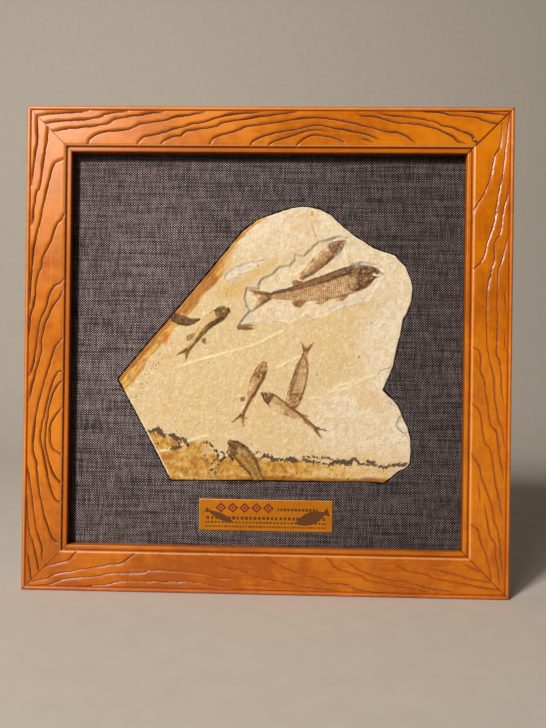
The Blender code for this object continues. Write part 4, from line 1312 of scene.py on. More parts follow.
@dataclass
class LinenCover:
    """Linen stretched over the mat board and turned down into the stone's window."""

    half: float
    centre_z: float
    face: float
    window_gap_mm: float = 1.1
    turn_depth: float = 0.0036
    turn_radius: float = 0.0005
    hub_mm: tuple[float, float] = (0.0, 170.0)
    spokes: int = 480
    rings: int = 44
    cloth_thickness: float = 0.00035

    def build(self, outline_mm: Array, linen: Material) -> Piece:
        """Blend rings from the window's edge out to the square edge, and turn the inner edge down.

        Each spoke runs from the hub; on it the point's distance goes evenly from the window to the
        square, and the surface rises and falls by slow noise of a tenth of a millimetre.

        Args:
            outline_mm: The stone's outline.
            linen: The cloth's finish.

        Returns:
            The cloth.
        """
        hub = np.array(self.hub_mm) * MM
        ring = grown_outline(even_outline(outline_mm, 1600), self.window_gap_mm) * MM - hub
        signs = [(-1, -1), (-1, 1), (1, -1), (1, 1)]
        corner = np.array([(sx * self.half, self.centre_z + sz * self.half) for sx, sz in signs]) - hub
        angles = np.linspace(-math.pi, math.pi, self.spokes, endpoint=False)
        angles = np.sort(np.concatenate([angles, np.arctan2(corner[:, 1], corner[:, 0])]))
        order = np.argsort(np.arctan2(ring[:, 1], ring[:, 0]))
        bearing = np.arctan2(ring[:, 1], ring[:, 0])[order]
        inner = np.interp(angles, bearing, np.hypot(*ring.T)[order], period=2 * math.pi)
        cos, sin = np.cos(angles), np.sin(angles)
        top, bottom = self.centre_z + self.half - hub[1], hub[1] - self.centre_z + self.half
        rise = np.where(sin > 0, top / np.maximum(sin, 1e-9), bottom / np.maximum(-sin, 1e-9))
        outer = np.minimum(self.half / np.maximum(np.abs(cos), 1e-9), rise)
        share = np.linspace(0.0, 1.0, self.rings)[:, None] ** 1.25
        radius = inner + self.turn_radius + share * (outer - inner - self.turn_radius)
        x, z = hub[0] + radius * cos, hub[1] + radius * sin
        y = self.face + 0.00006 * rough_noise(x, z, 0.035, 41, 3)
        bend = np.linspace(math.pi / 2, 0.0, 4)[:-1][:, None]
        turn_radius = np.vstack([inner + 0 * bend[:1], inner + self.turn_radius * (1 - np.sin(bend))])
        turn_y = np.concatenate([[self.turn_depth], self.turn_radius * (1 - np.cos(bend[:, 0]))])[:, None]
        turned = joined(hub[0] + turn_radius * cos, self.face + turn_y + 0 * cos, hub[1] + turn_radius * sin)
        points = np.vstack([turned, joined(x, y, z)])
        surface = Surface(points.reshape(-1, 3), grid_quads(points.shape[0], points.shape[1], closed=True))
        cloth = surface.to_object("linen_cloth", linen)
        thick = cloth.modifiers.new("cloth_thickness", "SOLIDIFY")
        thick.thickness = self.cloth_thickness
        thick.offset = 0.0
        area = (2 * self.half) ** 2 - self._area(ring)
        return place(cloth, "linen", "linen_cover")

    @staticmethod
    def _area(ring: Array) -> float:
        """Area inside a closed outline, by the shoelace sum."""
        after = np.roll(ring, -1, axis=0)
        return abs(float((ring[:, 0] * after[:, 1] - after[:, 0] * ring[:, 1]).sum()) / 2)


# ---- the stone ----

SLAB_OUTLINE_MM: Track = [
    (-107.3, 152.7), (-87.4, 176.9), (-65.6, 202.8), (-46.8, 225.3), (-30.9, 245.1), (-18.0, 260.8),
    (-7.2, 269.2), (5.2, 274.2), (17.8, 278.1), (28.9, 278.9), (37.8, 277.0), (44.8, 273.9), (51.0, 268.2),
    (61.0, 259.5), (71.5, 252.6), (80.4, 248.0), (92.4, 244.3), (99.4, 236.3), (102.8, 228.7),
    (105.0, 222.1), (104.4, 213.1), (101.1, 202.4), (98.7, 199.3), (96.3, 187.2), (91.6, 164.9),
    (84.5, 147.1), (91.4, 140.6), (96.0, 134.6), (102.7, 119.6), (104.8, 113.6), (104.9, 99.5),
    (104.5, 94.4), (102.0, 91.4), (96.5, 89.3), (91.0, 84.1), (86.1, 80.2), (76.0, 81.3), (32.1, 80.9),
    (-17.6, 80.8), (-68.0, 80.1), (-86.9, 116.2)]
PIT_MM: Track = [
    (84.1, 234.5), (79.8, 238.0), (69.0, 239.6), (59.4, 237.7), (57.0, 243.0), (56.0, 249.0), (58.5, 256.5),
    (52.5, 258.3), (46.2, 256.6), (41.4, 255.0), (36.7, 254.2), (33.6, 251.3), (28.9, 246.9), (26.5, 243.7),
    (20.1, 244.5), (18.6, 239.7), (15.5, 236.9), (8.3, 235.6), (5.2, 232.4), (1.2, 229.2), (-3.5, 227.9),
    (-6.6, 222.7), (-5.8, 219.5), (-14.6, 220.7), (-16.5, 213.1), (-15.2, 206.7), (-12.7, 203.6),
    (-17.1, 198.3), (-20.6, 193.0), (-13.5, 194.8), (-3.9, 195.7), (4.1, 196.2), (15.2, 194.7),
    (21.6, 197.1), (27.9, 200.8), (32.7, 198.5), (39.0, 198.9), (44.5, 201.8), (54.0, 206.6), (61.1, 209.1),
    (71.3, 210.8), (75.2, 214.0), (78.3, 220.4), (82.0, 226.0)]
# The pit's upper edges, where a painted shadow line and painted grey shade lie.
PIT_SHADOW_MM: list[Track] = [
    [(57.3, 257.1), *PIT_MM[7:23]],
    [*PIT_MM[23:26], (-13.6, 202.7), (-19.1, 196.3), (-21.0, 192.3)],
]
UPPER_LEDGE_MM: Track = [
    (-31.4, 226.1), (-29.5, 230.0), (-26.7, 233.4), (-19.8, 235.8), (-15.2, 238.6), (-7.0, 239.4),
    (3.2, 241.7), (-6.5, 236.9), (-13.4, 232.0), (-17.5, 229.9), (-21.7, 229.7), (-25.0, 226.5),
    (-27.2, 224.4)]
SIDE_CHIP_MM: Track = [
    (98.6, 130.8), (95.7, 126.6), (94.6, 122.5), (96.4, 119.1), (99.9, 116.4), (102.2, 114.2),
    (106.5, 114.0), (106.0, 131.0)]
CREASES_MM: list[Track] = [
    [(-64.9, 160.6), (-55.0, 165.0), (-45.1, 168.2), (-29.8, 172.4), (-18.4, 175.8), (-5.5, 179.9),
     (5.7, 186.1), (12.0, 188.9)],
    [(2.8, 161.0), (9.3, 163.2), (16.8, 167.3), (25.0, 171.0)],
    [(26.0, 140.3), (38.1, 141.2), (45.5, 144.4), (53.9, 150.5), (61.3, 151.5)],
    [(45.5, 144.4), (56.0, 147.5), (63.0, 150.5), (71.5, 155.6), (79.0, 157.8)],
    [(-80.1, 100.2), (-69.5, 102.2), (-59.0, 106.1), (-50.6, 110.0), (-42.3, 112.4)],
]
CREASE_SHARE = (1.0, 0.9, 0.8, 0.9, 1.0)
CRACKS_MM: list[Track] = [
    [(80.5, 158.6), (82.4, 161.2), (86.0, 162.6), (91.0, 164.4)],
    [(31.6, 266.8), (33.2, 261.6), (34.9, 257.4)],
    [(44.7, 83.1), (53.7, 82.6), (66.1, 82.1), (78.4, 82.7), (82.5, 81.7)],
    [(98.0, 130.1), (95.7, 126.6), (94.0, 122.5), (96.4, 119.1), (99.9, 116.4)],
]
BAND_FROM_MM = (-107.3, 152.7)
BAND_WAY = (0.637, 0.771)
BAND_WIDTH_MM: Track = [
    (-6.0, 9.4), (17.0, 9.5), (27.0, 7.6), (40.0, 7.8), (55.0, 8.0), (64.0, 10.0), (84.0, 8.2), (101.0, 9.8),
    (108.0, 9.0), (120.0, 6.6), (130.0, 4.0), (137.0, 1.6)]
OCHRE_MM: Track = [
    (-95.0, 116.5), (-84.4, 114.8), (-76.5, 113.5), (-68.2, 111.0), (-59.4, 107.6), (-54.6, 106.9),
    (-49.6, 108.8), (-42.6, 109.0), (-37.6, 104.6), (-35.0, 98.5), (-31.5, 95.5), (-26.0, 98.0),
    (-10.0, 99.0), (-3.1, 96.8), (5.9, 95.4), (15.6, 95.5), (27.7, 95.5), (44.6, 93.8), (51.5, 94.3),
    (60.4, 93.6), (69.3, 93.2), (79.7, 92.2), (94.7, 93.0), (112.0, 94.0), (112.0, 70.0), (-80.0, 70.0)]
FLAKE_DISC_MM = (-42.3, 101.2, 6.2)
YELLOW_MM: list[Track] = [
    [(-35.0, 221.8), (-27.2, 222.6), (-15.9, 227.6), (-7.6, 236.2), (5.1, 240.5), (7.9, 239.1),
     (-1.8, 229.2), (-13.1, 223.4), (-15.8, 214.9), (-27.1, 212.0), (-36.9, 210.4)],
    [(16.8, 261.8), (16.7, 270.2), (28.6, 274.5), (37.0, 273.2), (35.7, 264.7), (28.8, 259.0)],
]
BROWN_STAIN_MM: Track = [
    (62.5, 145.4), (72.3, 148.4), (82.1, 145.7), (86.4, 137.3), (82.3, 130.3), (71.1, 134.3)]
ROSE_MM: Track = [
    (30.6, 116.8), (36.0, 138.0), (51.3, 146.7), (72.2, 155.4), (66.0, 185.0), (80.0, 212.0), (60.0, 242.0),
    (36.0, 258.0), (4.0, 244.0), (-20.0, 240.0), (-30.0, 256.0), (20.0, 290.0), (112.0, 250.0),
    (112.0, 98.0), (72.8, 104.0), (44.8, 103.8)]
MANGANESE_MM: list[list[tuple[float, float, float]]] = [
    [(-88.5, 116.9, 0.7), (-84.4, 114.8, 0.8), (-81.6, 115.4, 1.2), (-78.5, 116.3, 2.4),
     (-76.5, 115.0, 2.3), (-74.5, 113.0, 1.5), (-71.3, 112.2, 0.7), (-68.2, 112.6, 1.2),
     (-65.8, 111.4, 1.9), (-62.6, 110.0, 1.2), (-59.4, 110.4, 1.0), (-57.8, 107.9, 1.1),
     (-55.9, 105.8, 1.0)],
    [(-67.0, 103.0, 1.2), (-64.5, 103.9, 1.3), (-61.7, 104.7, 0.9), (-63.2, 108.2, 0.6)],
    [(-7.6, 100.3, 0.4), (-5.9, 101.0, 0.7), (-4.2, 101.7, 0.4)],
    [(-3.4, 96.0, 0.5), (-1.0, 98.6, 1.1), (1.8, 98.4, 1.2), (4.5, 97.9, 1.2), (5.9, 96.0, 1.2),
     (10.1, 96.3, 0.9), (15.6, 95.9, 1.0), (19.7, 96.3, 1.9), (23.2, 95.5, 1.2)],
    [(27.7, 98.0, 0.9), (29.8, 96.2, 1.1), (33.6, 95.0, 0.6), (37.0, 94.4, 0.7), (41.2, 94.1, 0.5),
     (44.6, 93.8, 0.5)],
    [(28.7, 98.7, 0.3), (36.3, 98.2, 0.5), (41.1, 98.2, 0.7), (45.2, 98.0, 0.4), (48.7, 96.6, 0.5)],
    [(46.7, 92.1, 0.8), (48.7, 94.2, 1.2), (51.5, 95.3, 1.7), (56.3, 95.2, 1.9), (60.4, 94.3, 2.0),
     (62.5, 95.8, 1.7), (65.2, 97.0, 1.3), (67.3, 95.6, 1.1), (69.3, 93.9, 0.7), (76.2, 93.7, 0.6),
     (83.1, 92.4, 0.7), (86.5, 92.1, 0.9), (90.6, 92.9, 1.0), (94.7, 94.0, 1.2), (98.8, 93.7, 1.3),
     (105.5, 94.5, 0.8)],
    [(74.5, 96.0, 1.0), (76.5, 95.4, 1.3), (78.9, 95.4, 0.7)],
    [(-27.0, 101.8, 0.6), (-25.4, 99.4, 1.0), (-23.4, 96.3, 0.9)],
    [(-44.4, 107.2, 0.5), (-41.3, 107.4, 0.6), (-38.9, 106.1, 0.6), (-36.8, 103.6, 0.5)],
    [(-36.5, 102.4, 0.6), (-34.1, 100.1, 0.9), (-34.0, 96.2, 0.7), (-36.4, 94.6, 0.5), (-38.2, 92.0, 0.5)],
    [(-39.5, 88.2, 0.5), (-36.7, 88.3, 0.5), (-37.1, 86.7, 0.5), (-35.5, 86.3, 0.5), (-36.6, 84.3, 0.4)],
    [(-33.0, 100.4, 0.4), (-31.0, 100.8, 0.4), (-29.4, 99.0, 0.6), (-29.6, 96.4, 0.7), (-31.4, 94.6, 0.7)],
]
DOTS_MM: list[tuple[float, float, float]] = [
    (-77.6, 106.4, 1.1), (-70.4, 106.6, 0.9), (-78.9, 103.3, 0.7), (-70.8, 102.6, 0.8), (-46.3, 100.7, 0.8),
    (-43.7, 98.0, 1.0), (-45.1, 96.0, 0.7), (-41.9, 95.1, 0.8), (-57.7, 96.6, 0.6), (-55.7, 95.0, 0.6),
    (-53.3, 94.3, 0.7), (-50.9, 94.2, 0.5), (-28.2, 97.0, 0.9), (-29.4, 98.6, 0.8), (-31.3, 94.6, 1.0),
    (-33.6, 91.9, 1.0), (-28.5, 90.0, 0.7), (-17.9, 91.3, 1.0), (-15.9, 90.6, 0.8), (8.1, 91.5, 0.5),
    (10.9, 90.8, 0.7), (15.0, 90.9, 0.5), (15.4, 87.8, 0.7), (14.1, 84.0, 1.1), (78.0, 87.8, 0.8),
    (84.9, 86.9, 0.5), (88.0, 87.0, 0.6), (70.4, 91.2, 0.5), (18.0, 102.3, 0.6), (73.2, 112.5, 0.5),
    (54.8, 129.1, 0.4), (90.7, 137.6, 0.6), (98.6, 114.7, 0.6), (101.6, 116.8, 0.7), (43.3, 85.2, 0.5),
    (-30.0, 88.0, 0.6), (60.0, 83.0, 0.7), (-51.0, 81.6, 0.8), (-45.0, 81.4, 0.7), (-5.0, 82.0, 0.9),
    (31.0, 84.5, 0.4), (22.0, 86.5, 0.4)]
RED_DOTS_MM: list[tuple[float, float, float]] = [
    (66.9, 171.1, 0.7), (36.9, 157.8, 0.6), (-13.6, 125.7, 0.7), (16.7, 102.9, 0.5), (-9.9, 107.0, 0.5),
    (32.8, 185.7, 0.5), (92.9, 136.7, 0.5), (74.0, 112.2, 0.5), (-29.2, 215.6, 0.6), (-6.8, 236.4, 0.7),
    (-41.6, 165.4, 0.6), (-26.3, 189.1, 0.5), (12.0, 269.5, 0.5), (75.6, 196.0, 0.6), (-22.0, 252.0, 0.4)]
SMUDGES_MM: list[Track] = [
    [(44.6, 206.7), (49.3, 210.3), (57.6, 211.3), (69.7, 215.7), (79.0, 220.2), (82.7, 221.1),
     (80.4, 216.6), (70.6, 211.3), (59.5, 206.7), (50.2, 203.6), (45.5, 203.2)],
    [(-14.0, 203.0), (-19.0, 196.0), (-20.0, 193.6), (-8.0, 194.4), (-10.0, 199.0), (-11.0, 203.0)],
    [(-16.0, 222.0), (-11.0, 225.6), (-5.6, 228.0), (-4.0, 224.0), (-8.0, 220.2)],
    [(48.0, 244.6), (52.2, 247.8), (55.0, 246.0), (50.4, 240.6), (47.0, 240.0)],
]


@dataclass(frozen=True)
class Fish:
    """A fossil fish: its line of stations from snout to tail root, and how dark each region is.

    The back lies on the left of the way from snout to tail where back is +1, and on the right where it
    is -1. Darkness goes from 0, bare stone, to 1, the darkest bone. The flesh thins out to nothing from
    the share fade_from of the length on, and bones are dark lines.
    """

    stations: tuple[tuple[float, float, float], ...]
    crown: float = 0.6
    back: int = 1
    tail: tuple[tuple[float, float], ...] = ()
    fins: tuple[Track, ...] = ()
    bones: tuple[Track, ...] = ()
    bone_dark: float = 0.5
    head_mm: float = 9.0
    flesh: float = 0.45
    head: float = 0.8
    spine_at: float = 0.5
    spine: float = 0.0
    back_edge: float = 0.3
    back_band: float = 0.0
    belly_edge: float = 0.15
    belly_loss: float = 0.0
    fade_from: float = 1.0
    lobe_mm: float = 1.1
    olive: float = 0.0
    ribs: float = 0.0
    gill_mm: tuple[float, float, float] | None = None
    mouth: Track = field(default_factory=list)

    def paint(self, x: Array, z: Array) -> dict[str, Array]:
        """Distance to the silhouette, darkness and place along the body at (x, z), in millimetres.

        The body is a chain of round sections whose half width goes evenly between stations. Darkness is
        the flesh's own, plus bells across the body for the spine and both edges, plus the head and bones,
        less patches of noise on the belly side.

        Args:
            x: Places across.
            z: Places up.

        Returns:
            Arrays named gap, dark, along, across, rib, gleam and height.
        """
        line = curve(list(self.stations), 1.5)
        distance, along, hand = to_track(x, z, line)
        reach = lengths_along(line)
        half = np.interp(along, reach, line[:, 2])
        across = hand * self.back * distance / half
        gap = distance - half
        total = reach[-1]
        inside = np.clip(np.abs(across), 0.0, 1.0)
        head = ease(along, self.head_mm * 1.12, self.head_mm * 0.85)
        patch = rough_noise(x, z, 5.0, 71, 4)
        lost = self.belly_loss * ease(across, 0.1, -0.7) * ease(patch, -0.5, 0.35) * (1 - head)
        spine = self.spine * ridge(across, self.spine_at, 0.75 / np.maximum(half, 1.0)) * (1 - 0.7 * head)
        dark = self.flesh * (1 - lost) + spine
        dark += self.back_band * ease(across + 0.25 * patch, self.spine_at - 0.25, self.spine_at + 0.15)
        dark += self.back_edge * ridge(across, 0.95, 1.0 / np.maximum(half, 1.2))
        dark += self.belly_edge * ridge(across, -0.95, 0.8 / np.maximum(half, 1.2)) * (1 - lost)
        dark *= 1.0 - ease(along / total + 0.15 * patch, self.fade_from, self.fade_from + 0.5)
        bony = 0.55 + 0.6 * np.abs(rough_noise(x, z, 2.6, 83, 3))
        dark = dark * (1 - head) + head * self.head * bony
        arcs = ridge(along - self.head_mm + 1.6 * across ** 2, 0.0, 0.45) * (inside < 0.95)
        dark += 0.30 * arcs
        rib = self.ribs * ease(along, self.head_mm, self.head_mm + 3.0) * ease(across, 0.6, 0.4)
        rib *= ease(along, 0.90 * total, 0.60 * total)
        height = self.crown * np.sqrt(1.0 - inside ** 2) * (0.35 + 0.65 * half / line[:, 2].max())
        height += 0.12 * spine + 0.10 * arcs + 0.25 * head * bony * (inside < 1.0)
        for bone in self.bones:
            near = to_track(x, z, curve(bone, 1.5))[0]
            mark = ridge(near, 0.0, 0.55) * np.clip(0.8 + 0.5 * patch, 0.2, 1.0)
            dark += self.bone_dark * mark
            height += 0.12 * mark
            gap = np.minimum(gap, near - 0.45)
        if self.mouth:
            gap = np.maximum(gap, 0.8 - to_track(x, z, np.array(self.mouth))[0])
        gleam = np.zeros(x.shape)
        if self.gill_mm:
            gx, gz, size = self.gill_mm
            gleam = ridge(np.hypot(x - gx, (z - gz) * 0.7), 0.0, size)
        for fin in self.fins:
            edge = to_outline(x, z, fin)
            dark = np.where(edge < np.minimum(gap, 0.6), 0.50 + 0.35 * patch, dark)
            gap = np.minimum(gap, edge)
            height = np.maximum(height, 0.18 * ease(-edge, 0.0, 0.6))
        if self.tail:
            gap, dark, height = self._tail(x, z, gap, dark, height)
        return {"gap": gap, "dark": np.clip(dark, 0.0, 1.3), "along": along,
                "across": distance * hand * self.back, "rib": rib - head, "gleam": gleam, "height": height}

    def _tail(self, x: Array, z: Array, gap: Array, dark: Array, height: Array) -> tuple:
        """Two tapering lobes from the tail root to the tips, with a web between them that fades outwards.

        Args:
            x: Places across.
            z: Places up.
            gap: Distance to the body.
            dark: Darkness so far.
            height: Height so far.

        Returns:
            Gap, darkness and height with the tail.
        """
        root = np.array(self.stations[-1][:2])
        first, notch, second = self.tail
        web = to_outline(x, z, [root, first, notch, second])
        reach = np.hypot(x - root[0], z - root[1]) / max(math.hypot(*(np.array(notch) - root)), 1.0)
        rays = 0.62 - 0.34 * reach + 0.25 * rough_noise(x, z, 1.8, 91, 3)
        outside = gap > 0.2
        dark = np.where(outside & (web < 0.3), rays, dark)
        best = np.minimum(gap, web + 0.2)
        for tip in (first, second):
            distance, along, _ = to_track(x, z, np.array([root, tip]))
            length = math.hypot(tip[0] - root[0], tip[1] - root[1])
            lobe = distance - self.lobe_mm * (1.15 - 0.75 * along / length)
            dark = np.where(outside & (lobe < 0.4), np.maximum(dark * 0.6, 0.85 - 0.3 * along / length), dark)
            best = np.minimum(best, lobe)
            height = np.maximum(height, 0.3 * ease(-lobe, -0.2, 0.5))
        return best, dark, height


FISH: dict[str, Fish] = {
    "long": Fish(
        stations=((82.7, 231.2, 1.0), (76.3, 231.6, 5.2), (68.4, 229.3, 9.0), (59.8, 226.7, 9.9),
                  (51.2, 223.7, 9.8), (41.9, 221.0, 9.0), (31.1, 218.6, 7.6), (21.8, 216.8, 5.9),
                  (13.1, 215.8, 4.1), (5.4, 215.1, 2.9)),
        crown=1.0, back=-1, tail=((-13.8, 218.9), (-7.0, 211.4), (-11.2, 203.0)), head_mm=22.0, flesh=0.36,
        head=0.92, spine_at=0.44, spine=0.32, back_edge=0.26, back_band=0.34, belly_loss=0.2, lobe_mm=1.3,
        ribs=0.62,
        fins=([(29.5, 211.5), (27.7, 209.4), (24.0, 206.2), (20.4, 206.6), (18.0, 209.6), (23.0, 212.0)],
              [(47.0, 213.6), (42.0, 210.2), (38.6, 208.2), (34.5, 209.3), (38.0, 213.0)],
              [(61.5, 218.4), (57.8, 213.9), (54.5, 211.0), (49.6, 211.4), (52.0, 216.0)],
              [(34.0, 226.6), (26.0, 225.0), (21.0, 226.6), (17.6, 225.4), (19.0, 222.0), (30.0, 224.0)]),
        bones=([(82.5, 231.1), (78.2, 228.3), (73.5, 225.1), (68.0, 221.9), (64.1, 219.5), (60.1, 220.2),
                (58.5, 223.4)],
               [(59.9, 236.1), (65.4, 238.1), (71.8, 237.0), (76.5, 235.4), (79.0, 231.5)],
               [(47.0, 228.2), (53.0, 229.8), (58.0, 231.6), (62.0, 234.6)],
               [(56.5, 233.8), (59.5, 230.4), (61.0, 226.6)],
               [(67.0, 231.5), (68.0, 234.6), (70.6, 235.2), (71.6, 232.8), (69.6, 231.2), (67.0, 231.5)],
               [(66.4, 230.0), (64.9, 224.8), (67.6, 222.3)]),
        gill_mm=(62.6, 226.4, 2.1), mouth=[(83.2, 230.2), (79.8, 229.9), (77.0, 230.6)]),
    "upper": Fish(
        stations=((55.4, 253.6, 2.0), (49.5, 250.1, 4.5), (43.1, 244.4, 5.0), (36.6, 238.8, 4.9),
                  (30.2, 233.0, 4.0), (25.4, 229.0, 2.8)),
        crown=0.8, head_mm=11.0, flesh=0.4, head=0.7, spine_at=0.55, spine=0.15, back_edge=0.18,
        belly_edge=0.1, belly_loss=0.35, fade_from=0.85, ribs=0.15,
        bones=([(55.1, 252.2), (53.9, 249.0), (48.4, 244.9), (42.8, 238.5), (38.1, 234.4), (32.5, 230.3),
                (26.1, 228.2)], [(53.0, 255.0), (46.6, 253.8), (43.5, 252.0)])),
    "rim": Fish(
        stations=((-67.0, 198.2, 3.4), (-60.5, 195.8, 3.7), (-55.0, 195.1, 2.6), (-48.6, 197.0, 0.8)),
        back=-1, head_mm=0.5, flesh=0.78, back_edge=0.3, belly_edge=0.0, olive=0.25),
    "rust": Fish(
        stations=((-28.6, 203.2, 2.4), (-33.8, 200.6, 5.2), (-40.5, 196.2, 5.0), (-45.6, 190.6, 3.7),
                  (-49.6, 184.6, 2.7), (-52.9, 179.8, 1.9), (-55.4, 176.4, 1.7)),
        tail=((-65.2, 170.7), (-59.4, 171.6), (-58.8, 166.4)),
        fins=([(-50.5, 187.5), (-58.4, 185.0), (-57.3, 180.6), (-54.0, 182.0)],
              [(-44.0, 184.0), (-43.6, 178.6), (-46.5, 180.0), (-47.6, 182.5)]),
        bones=([(-33.8, 197.5), (-39.5, 194.6), (-45.2, 190.2), (-48.7, 185.1), (-51.5, 180.8),
                (-55.1, 176.5)],
               [(-27.6, 205.0), (-27.0, 202.0), (-30.2, 199.0), (-34.5, 196.1), (-39.5, 192.4),
                (-43.7, 187.4)], [(-30.0, 206.4), (-34.6, 205.7), (-37.4, 203.6)]),
        head_mm=8.0, flesh=0.2, head=0.8, spine_at=0.35, back_band=0.42, back_edge=0.2, belly_edge=0.22,
        belly_loss=0.3, olive=1.0),
    "fragment": Fish(
        stations=((-20.2, 191.6, 1.5), (-14.0, 191.6, 1.9), (-8.4, 191.6, 1.2)), crown=0.5, head_mm=0.5,
        flesh=0.3, spine_at=-0.2, spine=0.35, back_edge=0.35, belly_edge=0.3, fade_from=0.6,
        bones=([(-20.6, 190.0), (-14.0, 189.8), (-10.0, 190.3)],
               [(-20.4, 193.4), (-13.0, 193.6), (-8.6, 193.2)])),
    "left": Fish(
        stations=((-1.6, 165.0, 2.4), (-2.8, 161.8, 4.1), (-5.0, 156.6, 4.7), (-7.5, 151.4, 4.4),
                  (-9.6, 145.6, 3.6), (-12.0, 139.4, 2.4), (-14.2, 134.0, 1.7), (-15.8, 130.0, 1.6)),
        tail=((-23.9, 122.6), (-18.6, 124.9), (-15.8, 119.6)),
        fins=([(-14.8, 141.5), (-19.0, 140.5), (-18.0, 137.4), (-14.6, 138.5)],),
        bones=([(-0.4, 159.2), (-2.4, 155.0), (-5.8, 148.7), (-8.5, 143.2), (-11.2, 139.7), (-13.6, 134.8),
                (-16.0, 129.9)], [(-6.6, 158.4), (-9.6, 155.6), (-11.6, 152.0)]),
        head_mm=10.5, flesh=0.36, head=0.58, back_edge=0.42, belly_loss=0.65, ribs=0.1),
    "upright": Fish(
        stations=((19.4, 133.0, 2.2), (20.3, 137.6, 4.4), (22.2, 144.6, 5.4), (24.2, 152.4, 5.4),
                  (25.8, 160.4, 4.8), (26.9, 167.2, 3.2), (28.2, 172.8, 2.0)),
        tail=((25.3, 181.4), (29.2, 178.4), (34.3, 181.2)), head_mm=10.5, flesh=0.33, head=0.42,
        back_edge=0.35, belly_edge=0.25, belly_loss=0.45, lobe_mm=1.0, ribs=0.08,
        bones=([(27.4, 172.7), (25.0, 169.2), (22.0, 164.3), (20.7, 158.8), (18.3, 151.8), (16.0, 144.2),
                (15.1, 138.0)],
               [(25.0, 167.1), (23.4, 162.2), (21.7, 155.3), (19.7, 149.1), (18.4, 142.8)],
               [(28.4, 169.9), (30.6, 164.4), (30.0, 157.5), (29.4, 153.4), (27.4, 145.7), (24.7, 140.2)],
               [(18.4, 143.5), (21.9, 143.6), (26.0, 144.3)], [(17.2, 136.2), (19.6, 133.4), (23.2, 135.4)])),
    "crossing": Fish(
        stations=((-3.0, 144.3, 0.8), (1.6, 141.0, 4.2), (7.2, 137.4, 4.8), (13.6, 133.4, 4.4),
                  (20.2, 129.8, 3.4), (26.4, 126.4, 2.4), (31.4, 122.9, 1.7), (34.8, 119.9, 1.6)),
        tail=((44.4, 117.6), (37.8, 117.4), (41.2, 111.4)),
        fins=([(24.0, 130.4), (31.8, 128.0), (29.0, 126.0), (25.0, 127.4)],),
        bones=([(15.1, 135.9), (19.3, 132.5), (24.1, 129.8), (28.3, 125.7), (32.5, 122.3), (35.3, 119.6)],
               [(-3.0, 143.2), (-0.2, 139.1), (3.4, 134.3)]),
        head_mm=8.5, flesh=0.34, head=0.88, back_edge=0.45, belly_loss=0.75, ribs=0.22),
    "edge": Fish(
        stations=((-24.9, 107.8, 2.4), (-21.8, 105.2, 5.0), (-17.2, 100.4, 6.0), (-12.0, 94.0, 5.6),
                  (-8.0, 88.2, 4.6), (-4.6, 82.0, 4.0), (-2.0, 78.0, 3.8)),
        crown=0.8, head_mm=9.0, flesh=0.4, head=0.95, spine_at=0.05, spine=0.15, back_edge=0.5,
        belly_edge=0.5, olive=1.0, gill_mm=(-18.2, 102.3, 1.5),
        bones=([(-23.9, 108.9), (-18.5, 107.9), (-13.6, 105.2), (-8.6, 100.0), (-5.8, 96.0), (-3.7, 90.7)],
               [(-25.8, 106.6), (-26.2, 103.2), (-23.6, 99.6), (-19.0, 95.6), (-14.1, 90.3), (-9.8, 85.1)])),
}


